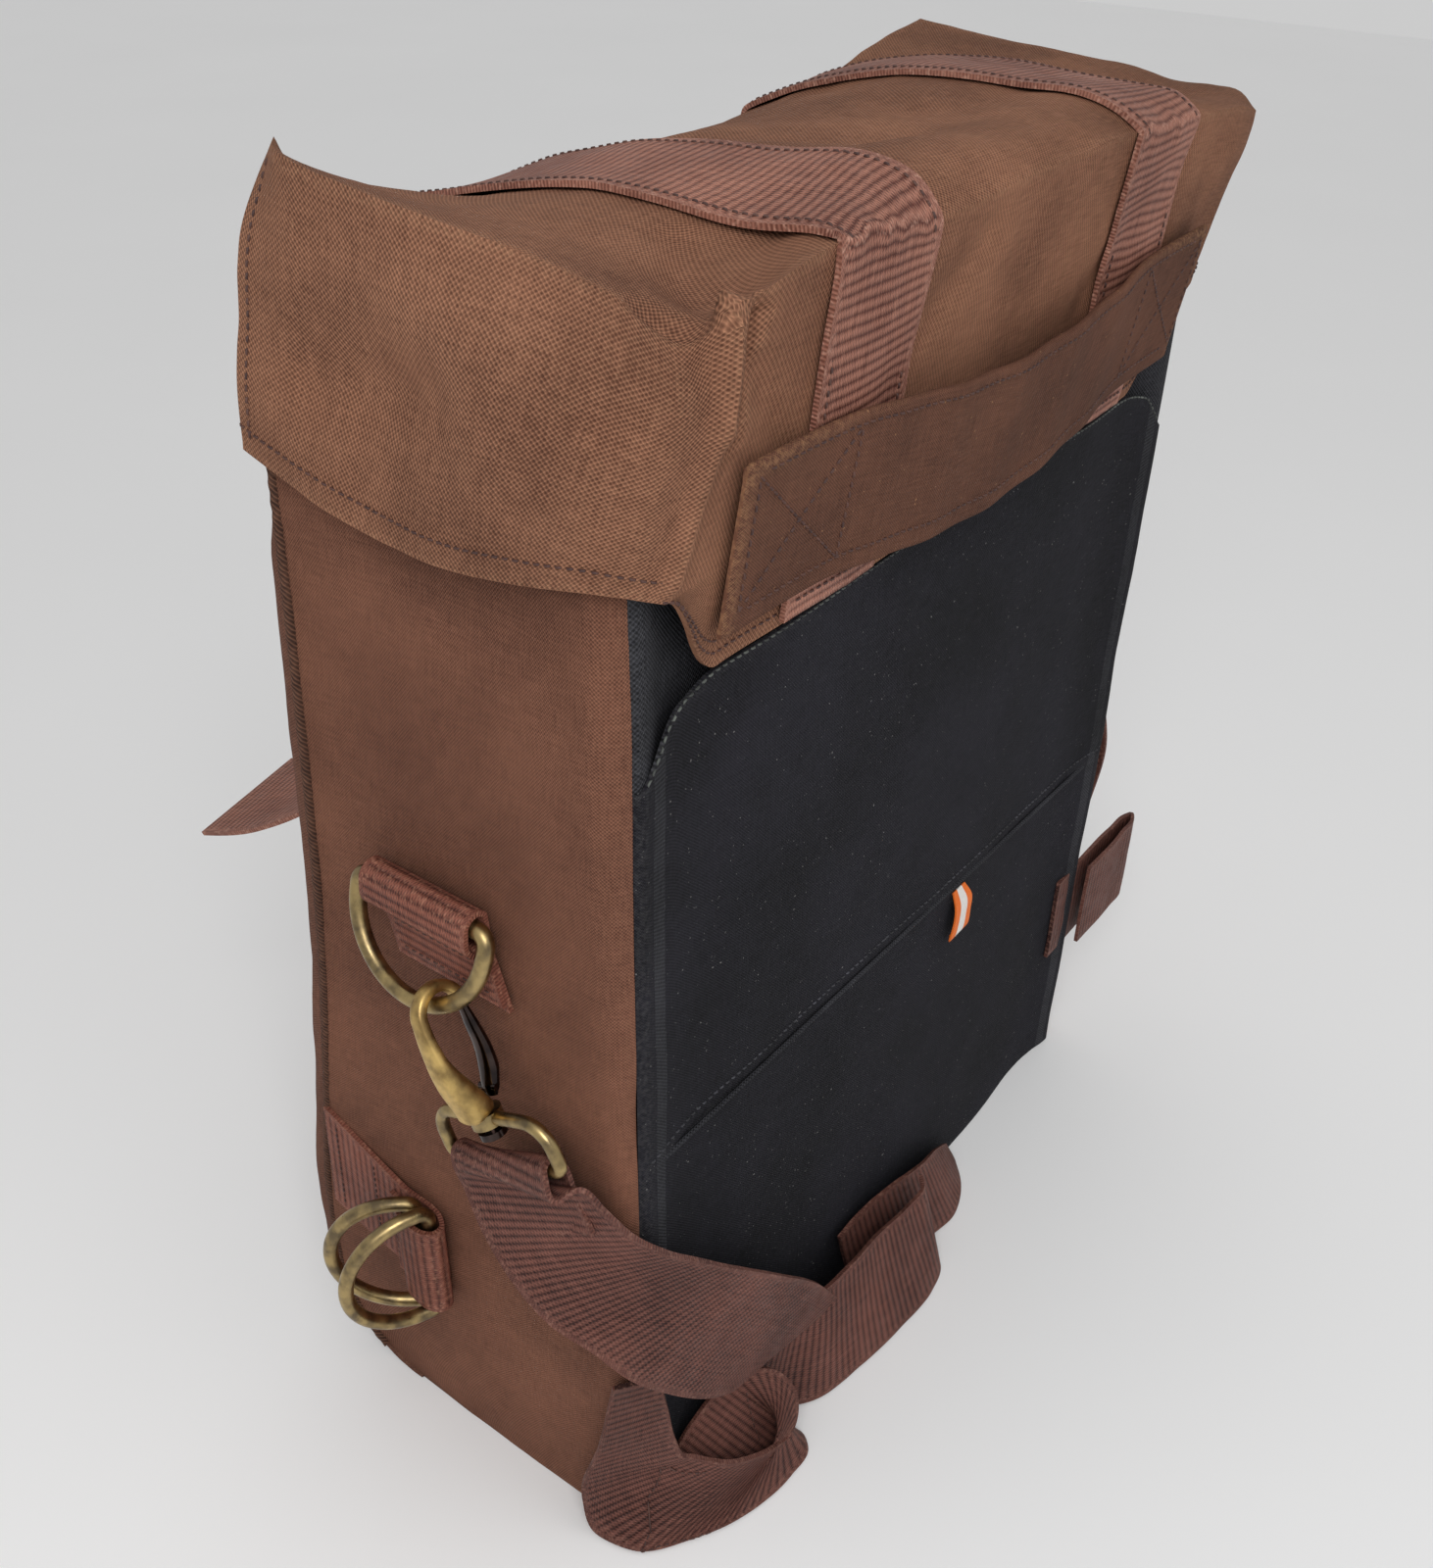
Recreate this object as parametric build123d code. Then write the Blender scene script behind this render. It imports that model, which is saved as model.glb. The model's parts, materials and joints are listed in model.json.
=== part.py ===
from build123d import *
import math
import os

# Canvas saddlebag with a deep cap lid, webbing straps and brass hardware.
# Units are millimetres. The bag stands on z = 0 with +Z up. Its black rack side faces +Y,
# its front faces -Y, and the origin is on the floor under the middle of the bag.

# --- driving dimensions -------------------------------------------------------------------
BODY_WIDTH = 380.0
BACK_Y = 85.0            # outer face of the rack side
FRONT_TOP_Y = -42.0      # front seam at the top of the body
FRONT_MID_Y = -56.0      # front seam at half height
FRONT_LOW_Y = -80.0      # front seam where the body is deepest
FRONT_MID_Z = 250.0
FRONT_LOW_Z = 95.0
BODY_TOP = 450.0         # mouth of the body, under the lid
CORNER_RADIUS = 45.0     # bottom front corner
WALL = 4.0               # padded canvas
FRONT_BULGE = 11.0       # the front stands this far in front of its side seams
PIPING_RADIUS = 2.2

POCKET_GAP = 5.0         # slot between the back wall and the rack pocket's outer layer
POCKET_SKIN = 2.0
POCKET_TOP = 385.0
POCKET_SEAM_Z = 192.0
POCKET_RIM = 6.0

WEBBING = 50.0           # width of all webbing
WEB = 2.0                # thickness of all webbing
TAB_WIDTH = 49.0         # webbing as it sits gathered between a ring's corners
GAP = 0.3                # clearance between faces of separate pieces
RING_WIRE = 6.0
RING_INNER = 52.0
RING_CORNER = 4.5

LID_HALF_WIDTH = 197.0
LID_SKIN = 3.0
LID_FRONT_Y = -63.0
LID_HEM_Z = 428.0
LID_TOP_Z = 495.0
LID_PEAK_Z = 526.0
LID_BACK_TOP_Y = 104.0
LID_RIDGE_X = 157.0
HINGE_Z = 391.0
HINGE_Y = 88.0
LID_STRAP_X = 92.0
STRAP_END_Z = 222.0
STRAP_END_Y = -165.0

HANDLE_HALF_LENGTH = 157.0
HANDLE_LOW = 12.0        # handle's lower edge, measured up the lid's back from its hem
HANDLE_HEIGHT = 53.0
HANDLE_THICK = 3.0
HANDLE_BOW = 16.5

SIDE_RING_Y = 8.0
SIDE_RING_Z = 297.0
SIDE_RING_DROP = 36.0    # bar centre line to bow centre line
SIDE_RING_LEAN = 16.0    # the hook holds the ring's bow off the side
HOOK_TILT = 25.0         # the hook hangs towards the rack side
LOOP_WIRE = 5.0
LOOP_DROP = 16.0         # bar to bow of the hook's strap loop
HOOK_PLATE = 8.0
HOOK_EYE_Z = 60.0        # eye centre above the loop's bar
HOOK_EYE_INNER = 6.5
HOOK_EYE_OUTER = 11.0
HOOK_BASE_LOW = 21.5
HOOK_BASE_HIGH = 33.0
RIVET_RADIUS = 3.0
RUNNING = 0.05           # radial clearance of a turning fit
GATE_PIVOT = (5.5, 27.0)
GATE_PIN_RADIUS = 1.2

FRONT_RING_Y = -10.0     # outermost bar of the ring pair low on each side
FRONT_RING_Z = 105.0
CLOSURE_RING_Z = 205.0
CORNER_LOOP_Z = 98.0

half_width = BODY_WIDTH / 2
inner_half = half_width - WALL
pocket_inner_y = BACK_Y - POCKET_SKIN
back_wall_y = pocket_inner_y - POCKET_GAP
ring_half = (RING_INNER + RING_WIRE) / 2

os.makedirs("parts", exist_ok=True)


def save(shape, name):
    shape.label = name
    export_step(shape, f"parts/{name}.step")


def mirror_x(shape):
    return mirror(shape, about=Plane.YZ)


def save_pair(shape, name):
    save(shape, f"{name}_right")
    save(mirror_x(shape), f"{name}_left")


def slab_yz(points, x_low, x_high):
    """A plate whose outline is given as (y, z) points, between two x positions."""
    face = make_face(Polyline(*[(x_low, y, z) for y, z in points], close=True))
    return extrude(face, amount=x_high - x_low, dir=(1, 0, 0))


def box_between(low, high):
    size = [b - a for a, b in zip(low, high)]
    middle = [(a + b) / 2 for a, b in zip(low, high)]
    return Pos(*middle) * Box(*size)


def ribbon(plane, points, radii, thickness, width):
    """A strip that follows points in the plane, extruded both ways to its width."""
    with BuildPart() as strip:
        with BuildSketch(plane):
            with BuildLine():
                FilletPolyline(*points, radius=radii)
            trace(line_width=thickness)
        extrude(amount=width / 2, both=True)
    return strip.part.solid()


def quarter_arc(start, centre, end):
    start, centre, end = Vector(*start), Vector(*centre), Vector(*end)
    outward = (start + end - centre * 2).normalized()
    return ThreePointArc(start, centre + outward * (start - centre).length, end)


def wire_loop(inner, wire, drop, bar_corner, bow_corner):
    """A wire loop in the XZ plane: its bar on the X axis at z = 0 and its bow at z = -drop."""
    half = inner / 2 + wire / 2
    flat = half - bar_corner
    bow_flat = half - bow_corner
    bow_z = bow_corner - drop
    edges = [
        Line((-flat, 0, 0), (flat, 0, 0)),
        quarter_arc((flat, 0, 0), (flat, 0, -bar_corner), (half, 0, -bar_corner)),
        Line((half, 0, -bar_corner), (half, 0, bow_z)),
        quarter_arc((half, 0, bow_z), (bow_flat, 0, bow_z), (bow_flat, 0, -drop)),
    ]
    if bow_flat > 0:
        edges.append(Line((bow_flat, 0, -drop), (-bow_flat, 0, -drop)))
    edges += [
        quarter_arc((-bow_flat, 0, -drop), (-bow_flat, 0, bow_z), (-half, 0, bow_z)),
        Line((-half, 0, bow_z), (-half, 0, -bar_corner)),
        quarter_arc((-half, 0, -bar_corner), (-flat, 0, -bar_corner), (-flat, 0, 0)),
    ]
    section = Plane((-flat, 0, 0), z_dir=(1, 0, 0)) * Circle(wire / 2)
    return sweep(section, path=Wire(edges)).solid()


def d_ring():
    """The 50 mm D ring that the bag uses everywhere."""
    return wire_loop(RING_INNER, RING_WIRE, SIDE_RING_DROP, RING_CORNER, ring_half)


# --- body shell ---------------------------------------------------------------------------
def side_outline(inset=0.0):
    """Side profile of the body as one face in YZ, moved in by inset on every edge."""
    radius = CORNER_RADIUS - inset
    back = back_wall_y - inset
    low = FRONT_LOW_Y + inset
    bend = radius * (1 - math.sqrt(0.5))
    edges = Wire([
        Line((0, back, inset), (0, back, BODY_TOP - inset)),
        Line((0, back, BODY_TOP - inset), (0, FRONT_TOP_Y + inset, BODY_TOP - inset)),
        Line((0, FRONT_TOP_Y + inset, BODY_TOP - inset), (0, FRONT_MID_Y + inset, FRONT_MID_Z)),
        Line((0, FRONT_MID_Y + inset, FRONT_MID_Z), (0, low, FRONT_LOW_Z)),
        Line((0, low, FRONT_LOW_Z), (0, low, inset + radius)),
        ThreePointArc((0, low, inset + radius), (0, low + bend, inset + bend),
                      (0, low + radius, inset)),
        Line((0, low + radius, inset), (0, back, inset)),
    ])
    return make_face(edges)


def prism(face, half):
    return Pos(-half, 0, 0) * extrude(face, amount=2 * half, dir=(1, 0, 0))


def body_shell():
    outline = side_outline()
    inside = side_outline(WALL)
    side = Pos(inner_half, 0, 0) * extrude(outline, amount=WALL, dir=(1, 0, 0))
    save_pair(side.solid(), "side_panel")

    ring = prism(outline, inner_half) - prism(inside, inner_half)
    floor_top = WALL
    front_split_y = FRONT_LOW_Y + CORNER_RADIUS
    lid_opening = box_between((-inner_half, FRONT_LOW_Y, BODY_TOP - WALL),
                              (inner_half, back_wall_y, BODY_TOP))
    ring -= lid_opening
    back_cut = box_between((-inner_half, back_wall_y - WALL, -1),
                           (inner_half, back_wall_y + 1, BODY_TOP + 1))
    bottom_cut = box_between((-inner_half, front_split_y, -1),
                             (inner_half, back_wall_y - WALL, floor_top))
    save((ring & bottom_cut).solid(), "bottom_panel")
    save(box_between((-inner_half, back_wall_y - WALL, 0),
                     (inner_half, back_wall_y, BODY_TOP - WALL)), "back_panel")
    front = (ring - back_cut - bottom_cut).solid()

    lower_limit = box_between((-half_width, FRONT_LOW_Y - 40, CORNER_RADIUS * 0.7),
                              (half_width, back_wall_y, BODY_TOP - 8))
    bulge = Pos(0, -FRONT_BULGE, 0) * prism(outline, inner_half - 8) & lower_limit
    chamfered = bulge - prism(outline, inner_half + 1)
    for sign in (-1, 1):
        wedge = make_face(Polyline(
            (sign * (inner_half + 1), FRONT_LOW_Y - 40, 0),
            (sign * (inner_half + 1), FRONT_TOP_Y + 5, 0),
            (sign * (inner_half - 2), FRONT_TOP_Y + 5, 0),
            (sign * (inner_half - 30), FRONT_LOW_Y - 40, 0), close=True))
        chamfered -= extrude(wedge, amount=BODY_TOP, dir=(0, 0, 1))
    pieces = [front] + [s for s in chamfered.solids() if s.volume > 1000]
    save(Part() + pieces, "front_panel")


def front_piping():
    """Welt along the seam between each side and the front, from the mouth to the floor."""
    out = PIPING_RADIUS + GAP
    x = half_width - PIPING_RADIUS
    low_y = FRONT_LOW_Y - out
    slope = FilletPolyline((x, FRONT_TOP_Y - out, BODY_TOP), (x, FRONT_MID_Y - out, FRONT_MID_Z),
                           (x, low_y, FRONT_LOW_Z), (x, low_y, CORNER_RADIUS), radius=[160, 60])
    centre = Vector(x, FRONT_LOW_Y + CORNER_RADIUS, CORNER_RADIUS)
    toe = [centre + Vector(0, -math.cos(turn), -math.sin(turn)) * (CORNER_RADIUS + out)
           for turn in (math.radians(30), math.radians(60))]
    path = Wire(slope.edges() + [ThreePointArc((x, low_y, CORNER_RADIUS), *toe)])
    section = Plane(path @ 0, z_dir=path % 0) * Circle(PIPING_RADIUS)
    save_pair(sweep(section, path=path).solid(), "front_piping")


def rim_and_lining():
    rim_low = BODY_TOP - WALL + GAP
    outer = box_between((-inner_half + GAP, FRONT_TOP_Y + 3, rim_low),
                        (inner_half - GAP, back_wall_y - GAP, BODY_TOP + 1))
    inner = box_between((-inner_half + 6, FRONT_TOP_Y + 9, rim_low - 1),
                        (inner_half - 6, back_wall_y - 6, BODY_TOP + 2))
    save((outer - inner).solid(), "rim_binding")

    stiffener = 2.0
    board_y = back_wall_y - WALL - GAP
    save(box_between((-inner_half + 4, board_y - stiffener, WALL + GAP),
                     (inner_half - 4, board_y, BODY_TOP - 20)), "back_stiffener")
    save(box_between((-inner_half + 4, FRONT_LOW_Y + CORNER_RADIUS, WALL + GAP),
                     (inner_half - 4, board_y - stiffener - GAP, WALL + GAP + stiffener)),
         "base_stiffener")

    lining = 1.0
    lining_out = side_outline(WALL + 3.2)
    lining_in = side_outline(WALL + 3.2 + lining)
    half_out = inner_half - 1.0
    tub = prism(lining_out, half_out) - prism(lining_in, half_out - lining)
    above = box_between((-half_out, FRONT_LOW_Y, BODY_TOP - 16), (half_out, BACK_Y, BODY_TOP + 9))
    save((tub - above).solid(), "inner_liner")


def rack_pocket():
    """Black slip-over pocket on the rack side: rims at the sides and foot, open at the top."""
    rim_half = half_width - 1
    rim_outer = box_between((-rim_half, back_wall_y + GAP / 2, 0),
                            (rim_half, pocket_inner_y - GAP / 2, POCKET_TOP - 5))
    rim_inner = box_between((-rim_half + POCKET_RIM, back_wall_y, POCKET_RIM),
                            (rim_half - POCKET_RIM, pocket_inner_y, POCKET_TOP))
    save((rim_outer - rim_inner).solid(), "pocket_rim")
    save(box_between((-rim_half, pocket_inner_y, POCKET_SEAM_Z + GAP),
                     (rim_half, BACK_Y, POCKET_TOP)), "pocket_panel_upper")
    save(box_between((-rim_half, pocket_inner_y, 0),
                     (rim_half, BACK_Y, POCKET_SEAM_Z)), "pocket_panel_lower")
    save(box_between((-51, BACK_Y + GAP, 166), (-33, BACK_Y + GAP + 1.2, POCKET_SEAM_Z - 3)),
         "seam_tag")


# --- lid ----------------------------------------------------------------------------------
def lid_back_plane(offset_out=0.0):
    """Plane on the lid's back: x across the bag, y up the slope, z outward."""
    slope = Vector(0, LID_BACK_TOP_Y - HINGE_Y, LID_TOP_Z - HINGE_Z).normalized()
    out = Vector(0, slope.Z, -slope.Y)
    origin = Vector(0, HINGE_Y, HINGE_Z) + out * offset_out
    return Plane(origin, x_dir=(-1, 0, 0), z_dir=out)


def lid_shell():
    inner_x = LID_HALF_WIDTH - LID_SKIN
    half_plan = [(inner_x - GAP, LID_FRONT_Y + LID_SKIN + GAP), (inner_x - GAP, BACK_Y - 9),
                 (LID_RIDGE_X - GAP, LID_BACK_TOP_Y - LID_SKIN - 1)]
    plan = half_plan + [(-x, y) for x, y in reversed(half_plan)]
    top = make_face(Polyline(*[(x, y, LID_TOP_Z - LID_SKIN) for x, y in plan], close=True))
    save(extrude(top, amount=LID_SKIN, dir=(0, 0, 1)), "lid_top")
    save(box_between((-inner_x + GAP, LID_FRONT_Y, LID_HEM_Z),
                     (inner_x - GAP, LID_FRONT_Y + LID_SKIN, LID_TOP_Z)), "lid_front")
    save(slab_yz([(HINGE_Y - LID_SKIN, HINGE_Z), (HINGE_Y, HINGE_Z),
                  (LID_BACK_TOP_Y, LID_TOP_Z), (LID_BACK_TOP_Y - LID_SKIN, LID_TOP_Z)],
                 -LID_RIDGE_X + GAP, LID_RIDGE_X - GAP), "lid_back")
    wing = slab_yz([(LID_FRONT_Y, LID_HEM_Z), (BACK_Y - 8, LID_HEM_Z), (BACK_Y - 8, LID_TOP_Z + 2),
                    (20, LID_TOP_Z + 4), (-20, LID_PEAK_Z), (LID_FRONT_Y, LID_TOP_Z + 8)],
                   inner_x, LID_HALF_WIDTH)
    corner_plan = make_face(Polyline(
        (LID_HALF_WIDTH, BACK_Y - 8, LID_HEM_Z), (LID_HALF_WIDTH - 4, BACK_Y - 1, LID_HEM_Z),
        (LID_RIDGE_X, LID_BACK_TOP_Y - 5, LID_HEM_Z), (LID_RIDGE_X, LID_BACK_TOP_Y - 9, LID_HEM_Z),
        (inner_x, BACK_Y - 5, LID_HEM_Z), (inner_x, BACK_Y - 8, LID_HEM_Z),
        close=True))
    corner = extrude(corner_plan, amount=LID_TOP_Z - LID_SKIN - GAP - LID_HEM_Z,
                     dir=(0, 0, 1))
    save_pair((wing + corner).solid(), "lid_side")


def lid_straps():
    """Webbing sewn over the lid from its back hem, with a free tail in front of the bag."""
    lift = WEB / 2 + GAP
    points = [
        (HINGE_Y + lift + 0.9, HINGE_Z + 3),
        (LID_BACK_TOP_Y + lift + 0.4, LID_TOP_Z + lift),
        (LID_FRONT_Y - lift, LID_TOP_Z + lift),
        (LID_FRONT_Y - lift, LID_HEM_Z - 20),
        (LID_FRONT_Y - 12, 290),
        (STRAP_END_Y, STRAP_END_Z),
    ]
    strap = ribbon(Plane.YZ, points, [2, 2, 60, 30], WEB, WEBBING)
    for name, side in (("lid_strap_right", 1), ("lid_strap_left", -1)):
        save(Pos(side * LID_STRAP_X, 0, 0) * strap, name)


def carry_handle():
    """Folded canvas grip, sewn down at both ends and slack between them."""
    low = GAP + HANDLE_THICK / 2
    over_strap = WEB + 2 * GAP + HANDLE_THICK / 2 + 1.5
    half_points = [
        (HANDLE_HALF_LENGTH, low),
        (LID_STRAP_X + WEBBING / 2 + 12, low),
        (LID_STRAP_X + WEBBING / 2 + 1, over_strap),
        (LID_STRAP_X - WEBBING / 2 - 8, HANDLE_BOW),
    ]
    points = half_points + [(-x, out) for x, out in reversed(half_points)]
    back = lid_back_plane()
    middle = back.origin + back.y_dir * (HANDLE_LOW + HANDLE_HEIGHT / 2)
    plane = Plane(middle, x_dir=(1, 0, 0), z_dir=back.y_dir)
    save(ribbon(plane, points, [8, 8, 20, 20, 8, 8], HANDLE_THICK, HANDLE_HEIGHT), "carry_handle")


# --- rings and their tabs -----------------------------------------------------------------
def side_ring_set():
    """Webbing tab high on each side, folded over the bar of a hanging D ring."""
    bar_x = half_width + GAP + WEB + GAP + RING_WIRE / 2 + 0.5
    turn = RING_WIRE / 2 + GAP + WEB / 2 + 0.2
    points = [
        (half_width + GAP + WEB / 2, SIDE_RING_Z - 34),
        (half_width + GAP + WEB / 2, SIDE_RING_Z + turn),
        (bar_x + turn, SIDE_RING_Z + turn),
        (bar_x + turn, SIDE_RING_Z - 11),
    ]
    tab = ribbon(Plane.XZ, points, [turn * 0.95, turn * 0.95], WEB, TAB_WIDTH)
    save_pair(Pos(0, SIDE_RING_Y, 0) * tab, "d_ring_tab")
    ring = d_ring()
    leaning = Rot(0, -SIDE_RING_LEAN, 0) * Rot(0, 0, 90) * ring
    save_pair(Pos(bar_x, SIDE_RING_Y, SIDE_RING_Z) * leaning, "d_ring")
    return bar_x


def paired_tab(turn_to, name, stacked):
    """Webbing tab whose fold holds two D ring bars, in line with it or stacked outward."""
    clear = RING_WIRE / 2 + GAP + WEB / 2 + 0.2
    pitch = RING_WIRE + 2 * GAP
    bar_out = WEB + 2 * GAP + RING_WIRE / 2 + 0.5
    far_along = 0.0 if stacked else -pitch
    far_out = bar_out + pitch if stacked else bar_out
    points = [
        (-62, GAP + WEB / 2),
        (clear, GAP + WEB / 2),
        (clear, far_out + clear),
        (far_along - clear - 4, far_out + clear),
    ]
    tab = ribbon(Plane.XY, points, [clear * 0.95, clear * 0.95], WEB, TAB_WIDTH)
    save_pair(turn_to * tab, name)
    return pitch, bar_out


def ring_in_plan(lean):
    """A ring whose bar stands on the Z axis, with its bow turned lean degrees off -X."""
    ring = d_ring()
    bow_to_minus_x = Rot(0, 90, 0) * ring
    return Rot(0, 0, -lean) * bow_to_minus_x


def low_side_rings():
    """Pair of rings low on each side, bars upright, bows turned out towards the front."""
    at = Pos(half_width, FRONT_RING_Y, FRONT_RING_Z) * Rot(0, 0, 90) * Rot(180, 0, 0)
    pitch, bar_out = paired_tab(at, "ring_tab", stacked=False)
    for name, along, lean in (("ring_outer", 0.0, 66.0), ("ring_inner", -pitch, 40.0)):
        placed = at * Pos(along, bar_out, 0) * ring_in_plan(lean)
        save_pair(placed, name)


def closure_rings():
    """Pair of rings on the front under each lid strap, bars level, hanging by their weight."""
    rise = FRONT_MID_Z - FRONT_LOW_Z
    lean_in = FRONT_MID_Y - FRONT_LOW_Y
    front_y = FRONT_MID_Y - FRONT_BULGE - lean_in * (FRONT_MID_Z - CLOSURE_RING_Z) / rise - GAP
    up_front = (0, lean_in, rise)
    at = Plane((LID_STRAP_X, front_y, CLOSURE_RING_Z), x_dir=up_front, z_dir=(1, 0, 0)).location
    pitch, bar_out = paired_tab(at, "closure_tab", stacked=True)
    for name, out, lean in (("closure_ring_outer", bar_out + pitch, 14.0),
                            ("closure_ring_inner", bar_out, 6.0)):
        placed = at * Pos(0, out, 0) * ring_in_plan(lean)
        save_pair(placed, name)


# --- snap hooks and shoulder strap --------------------------------------------------------
def hook_location(bar_x):
    """Frame of the hook: z up its shank from the strap loop's bar, y along the ring's wire."""
    tilt = math.radians(HOOK_TILT)
    bow_radius = ring_half
    bow_y = SIDE_RING_Y + bow_radius * math.sin(tilt)
    lean = math.radians(SIDE_RING_LEAN)
    down = SIDE_RING_DROP - bow_radius * (1 - math.cos(tilt))
    bow_z = SIDE_RING_Z - down * math.cos(lean)
    wire_height = HOOK_EYE_Z + HOOK_EYE_INNER - RING_WIRE / 2 - 1.2
    bar_y = bow_y + wire_height * math.sin(tilt)
    bar_z = bow_z - wire_height * math.cos(tilt)
    hook_x = bar_x + down * math.sin(lean)
    return Pos(hook_x, bar_y, bar_z) * Rot(HOOK_TILT, 0, 0)


def hook_profile(points_outer, thickness):
    face = make_face(Polyline(*[(x, 0, z) for x, z in points_outer], close=True))
    return Pos(0, thickness / 2, 0) * extrude(face, amount=thickness, dir=(0, -1, 0))


def hook_solid():
    """Hook with its limb on -X and its gate side on +X."""
    eye = (Pos(0, 0, HOOK_EYE_Z) * Rot(90, 0, 0)
           * (Cylinder(HOOK_EYE_OUTER, HOOK_PLATE) - Cylinder(HOOK_EYE_INNER, HOOK_PLATE + 2)))
    lower_half = box_between((-20, -10, HOOK_EYE_Z - 20), (HOOK_EYE_OUTER + 1, 10, HOOK_EYE_Z - 1))
    limb = box_between((-HOOK_EYE_OUTER, -HOOK_PLATE / 2, HOOK_BASE_LOW),
                       (-HOOK_EYE_INNER, HOOK_PLATE / 2, HOOK_EYE_Z))
    base = box_between((-HOOK_EYE_OUTER, -HOOK_PLATE / 2, HOOK_BASE_LOW),
                       (10, HOOK_PLATE / 2, HOOK_BASE_HIGH))
    slot = box_between((1.0, -2.8, HOOK_BASE_LOW - 1), (12, 2.8, HOOK_BASE_HIGH + 1))
    body = (eye - lower_half) + limb + (base - slot)
    pin_hole = (Pos(GATE_PIVOT[0], 0, GATE_PIVOT[1]) * Rot(90, 0, 0)
                * Cylinder(GATE_PIN_RADIUS, 20))
    rivet_hole = Pos(0, 0, HOOK_BASE_LOW) * Cylinder(RIVET_RADIUS, 12)
    return (body - pin_hole - rivet_hole).solid()


def gate_solid():
    tip_z = HOOK_EYE_Z - 2.2
    lever = hook_profile([(3.4, HOOK_BASE_LOW + 3), (8.6, HOOK_BASE_LOW + 3),
                          (HOOK_EYE_OUTER + 1.5, HOOK_BASE_HIGH + 6), (HOOK_EYE_OUTER, tip_z),
                          (HOOK_EYE_INNER + 0.3, tip_z), (HOOK_EYE_INNER - 0.6, HOOK_BASE_HIGH + 4),
                          (3.4, HOOK_BASE_HIGH - 1)], 5.0)
    hole = (Pos(GATE_PIVOT[0], 0, GATE_PIVOT[1]) * Rot(90, 0, 0)
            * Cylinder(GATE_PIN_RADIUS + RUNNING, 20))
    return (lever - hole).solid()


def snap_hook(bar_x):
    at = hook_location(bar_x)
    bow_z = LOOP_DROP + LOOP_WIRE / 2
    loop = wire_loop(RING_INNER, LOOP_WIRE, bow_z, 3.2, 10.0)
    loop = Rot(0, 0, 90) * mirror(loop, about=Plane.XY)
    collar = Pos(0, 0, bow_z) * Cylinder(6.0, LOOP_WIRE)
    bore = Pos(0, 0, bow_z) * Cylinder(RIVET_RADIUS + RUNNING, 20)
    save_pair((at * (loop + collar - bore)).solid(), "hook_loop")

    shank_low = bow_z - LOOP_WIRE / 2 - 2.7
    shank = Pos(0, 0, (shank_low + HOOK_BASE_LOW + 6) / 2) * Cylinder(
        RIVET_RADIUS, HOOK_BASE_LOW + 6 - shank_low)
    head = Pos(0, 0, shank_low - 1 + 0.25) * Cylinder(5.0, 2.5)
    save_pair(at * (shank + head).solid(), "swivel_rivet")
    pin = Pos(GATE_PIVOT[0], 0, GATE_PIVOT[1]) * Rot(90, 0, 0) * Cylinder(
        GATE_PIN_RADIUS, HOOK_PLATE + 0.6)
    # The hook hangs with its limb outward and its gate towards the bag.
    for shape, name in ((hook_solid(), "hook_body"), (gate_solid(), "hook_gate"),
                        (pin.solid(), "gate_pin")):
        save_pair(at * mirror_x(shape), name)

    turn = LOOP_WIRE / 2 + GAP + WEB / 2
    wrap = ribbon(Plane.XZ, [(turn, -30), (turn, turn), (-turn, turn), (-turn, -30)],
                  [turn * 0.95, turn * 0.95], WEB, TAB_WIDTH)
    save_pair(at * wrap, "strap_end")
    return at


def shoulder_strap(at):
    """Strap from both hooks: round the right rear corner to a slack pile at the foot of the
    back, and straight down the left side. Its middle passes under the bag."""
    leave = at * Pos(0, 0, -33)
    tilt = math.radians(HOOK_TILT)
    reach = WEBBING / 2
    low = (leave.position.Y - reach * math.cos(tilt), leave.position.Z - reach * math.sin(tilt))
    high = (leave.position.Y + reach * math.cos(tilt), leave.position.Z + reach * math.sin(tilt))
    side_x = half_width + 5.5
    swing_y = BACK_Y + 10
    slanting = [low, (swing_y - 2, 110), (swing_y - 2, 188), high]
    save(slab_yz(slanting, side_x - WEB / 2, side_x + WEB / 2), "strap_side_right")
    hanging = [low, (28, 2), (28 + WEBBING, 2), high]
    save(slab_yz(hanging, -side_x - WEB / 2, -side_x + WEB / 2), "strap_side_left")

    across_back = [(half_width - 2, 106), (half_width - 2, 188), (80, 53), (130, 53)]
    face = make_face(Polyline(*[(x, swing_y, z) for x, z in across_back], close=True))
    save(extrude(face, amount=WEB, dir=(0, 1, 0)), "strap_back")

    pile_path = [(108, BACK_Y + 18), (86, BACK_Y + 28), (52, BACK_Y + 37), (8, BACK_Y + 38),
                 (-34, BACK_Y + 24), (-64, BACK_Y + 6)]
    pile = ribbon(Plane.XY, pile_path, [40, 40, 40, 40], WEB, WEBBING)
    save(Pos(0, 0, WEBBING / 2) * pile, "strap_floor")


def corner_loops():
    """Loops of webbing low on the rear corners, one slumped round its corner, one standing out."""
    slumped = [(half_width + GAP + WEB / 2, 46), (half_width + 7, BACK_Y + 5),
               (half_width - 22, BACK_Y + 34), (half_width - 64, BACK_Y + 36),
               (half_width - 72, BACK_Y + GAP + WEB / 2 + 0.5)]
    loop = ribbon(Plane.XY, slumped, [26, 24, 24], WEB, WEBBING)
    save(Pos(0, 0, WEBBING / 2) * loop, "corner_loop_right")
    near_y = BACK_Y + GAP + WEB / 2
    far_y = near_y + 8
    standing = [(-half_width + 30, near_y), (-half_width - 55, near_y),
                (-half_width - 55, far_y), (-half_width + 8, far_y)]
    loop = ribbon(Plane.XY, standing, [3.9, 3.9], WEB, WEBBING)
    save(Pos(0, 0, CORNER_LOOP_Z) * loop, "corner_loop_left")


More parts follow.
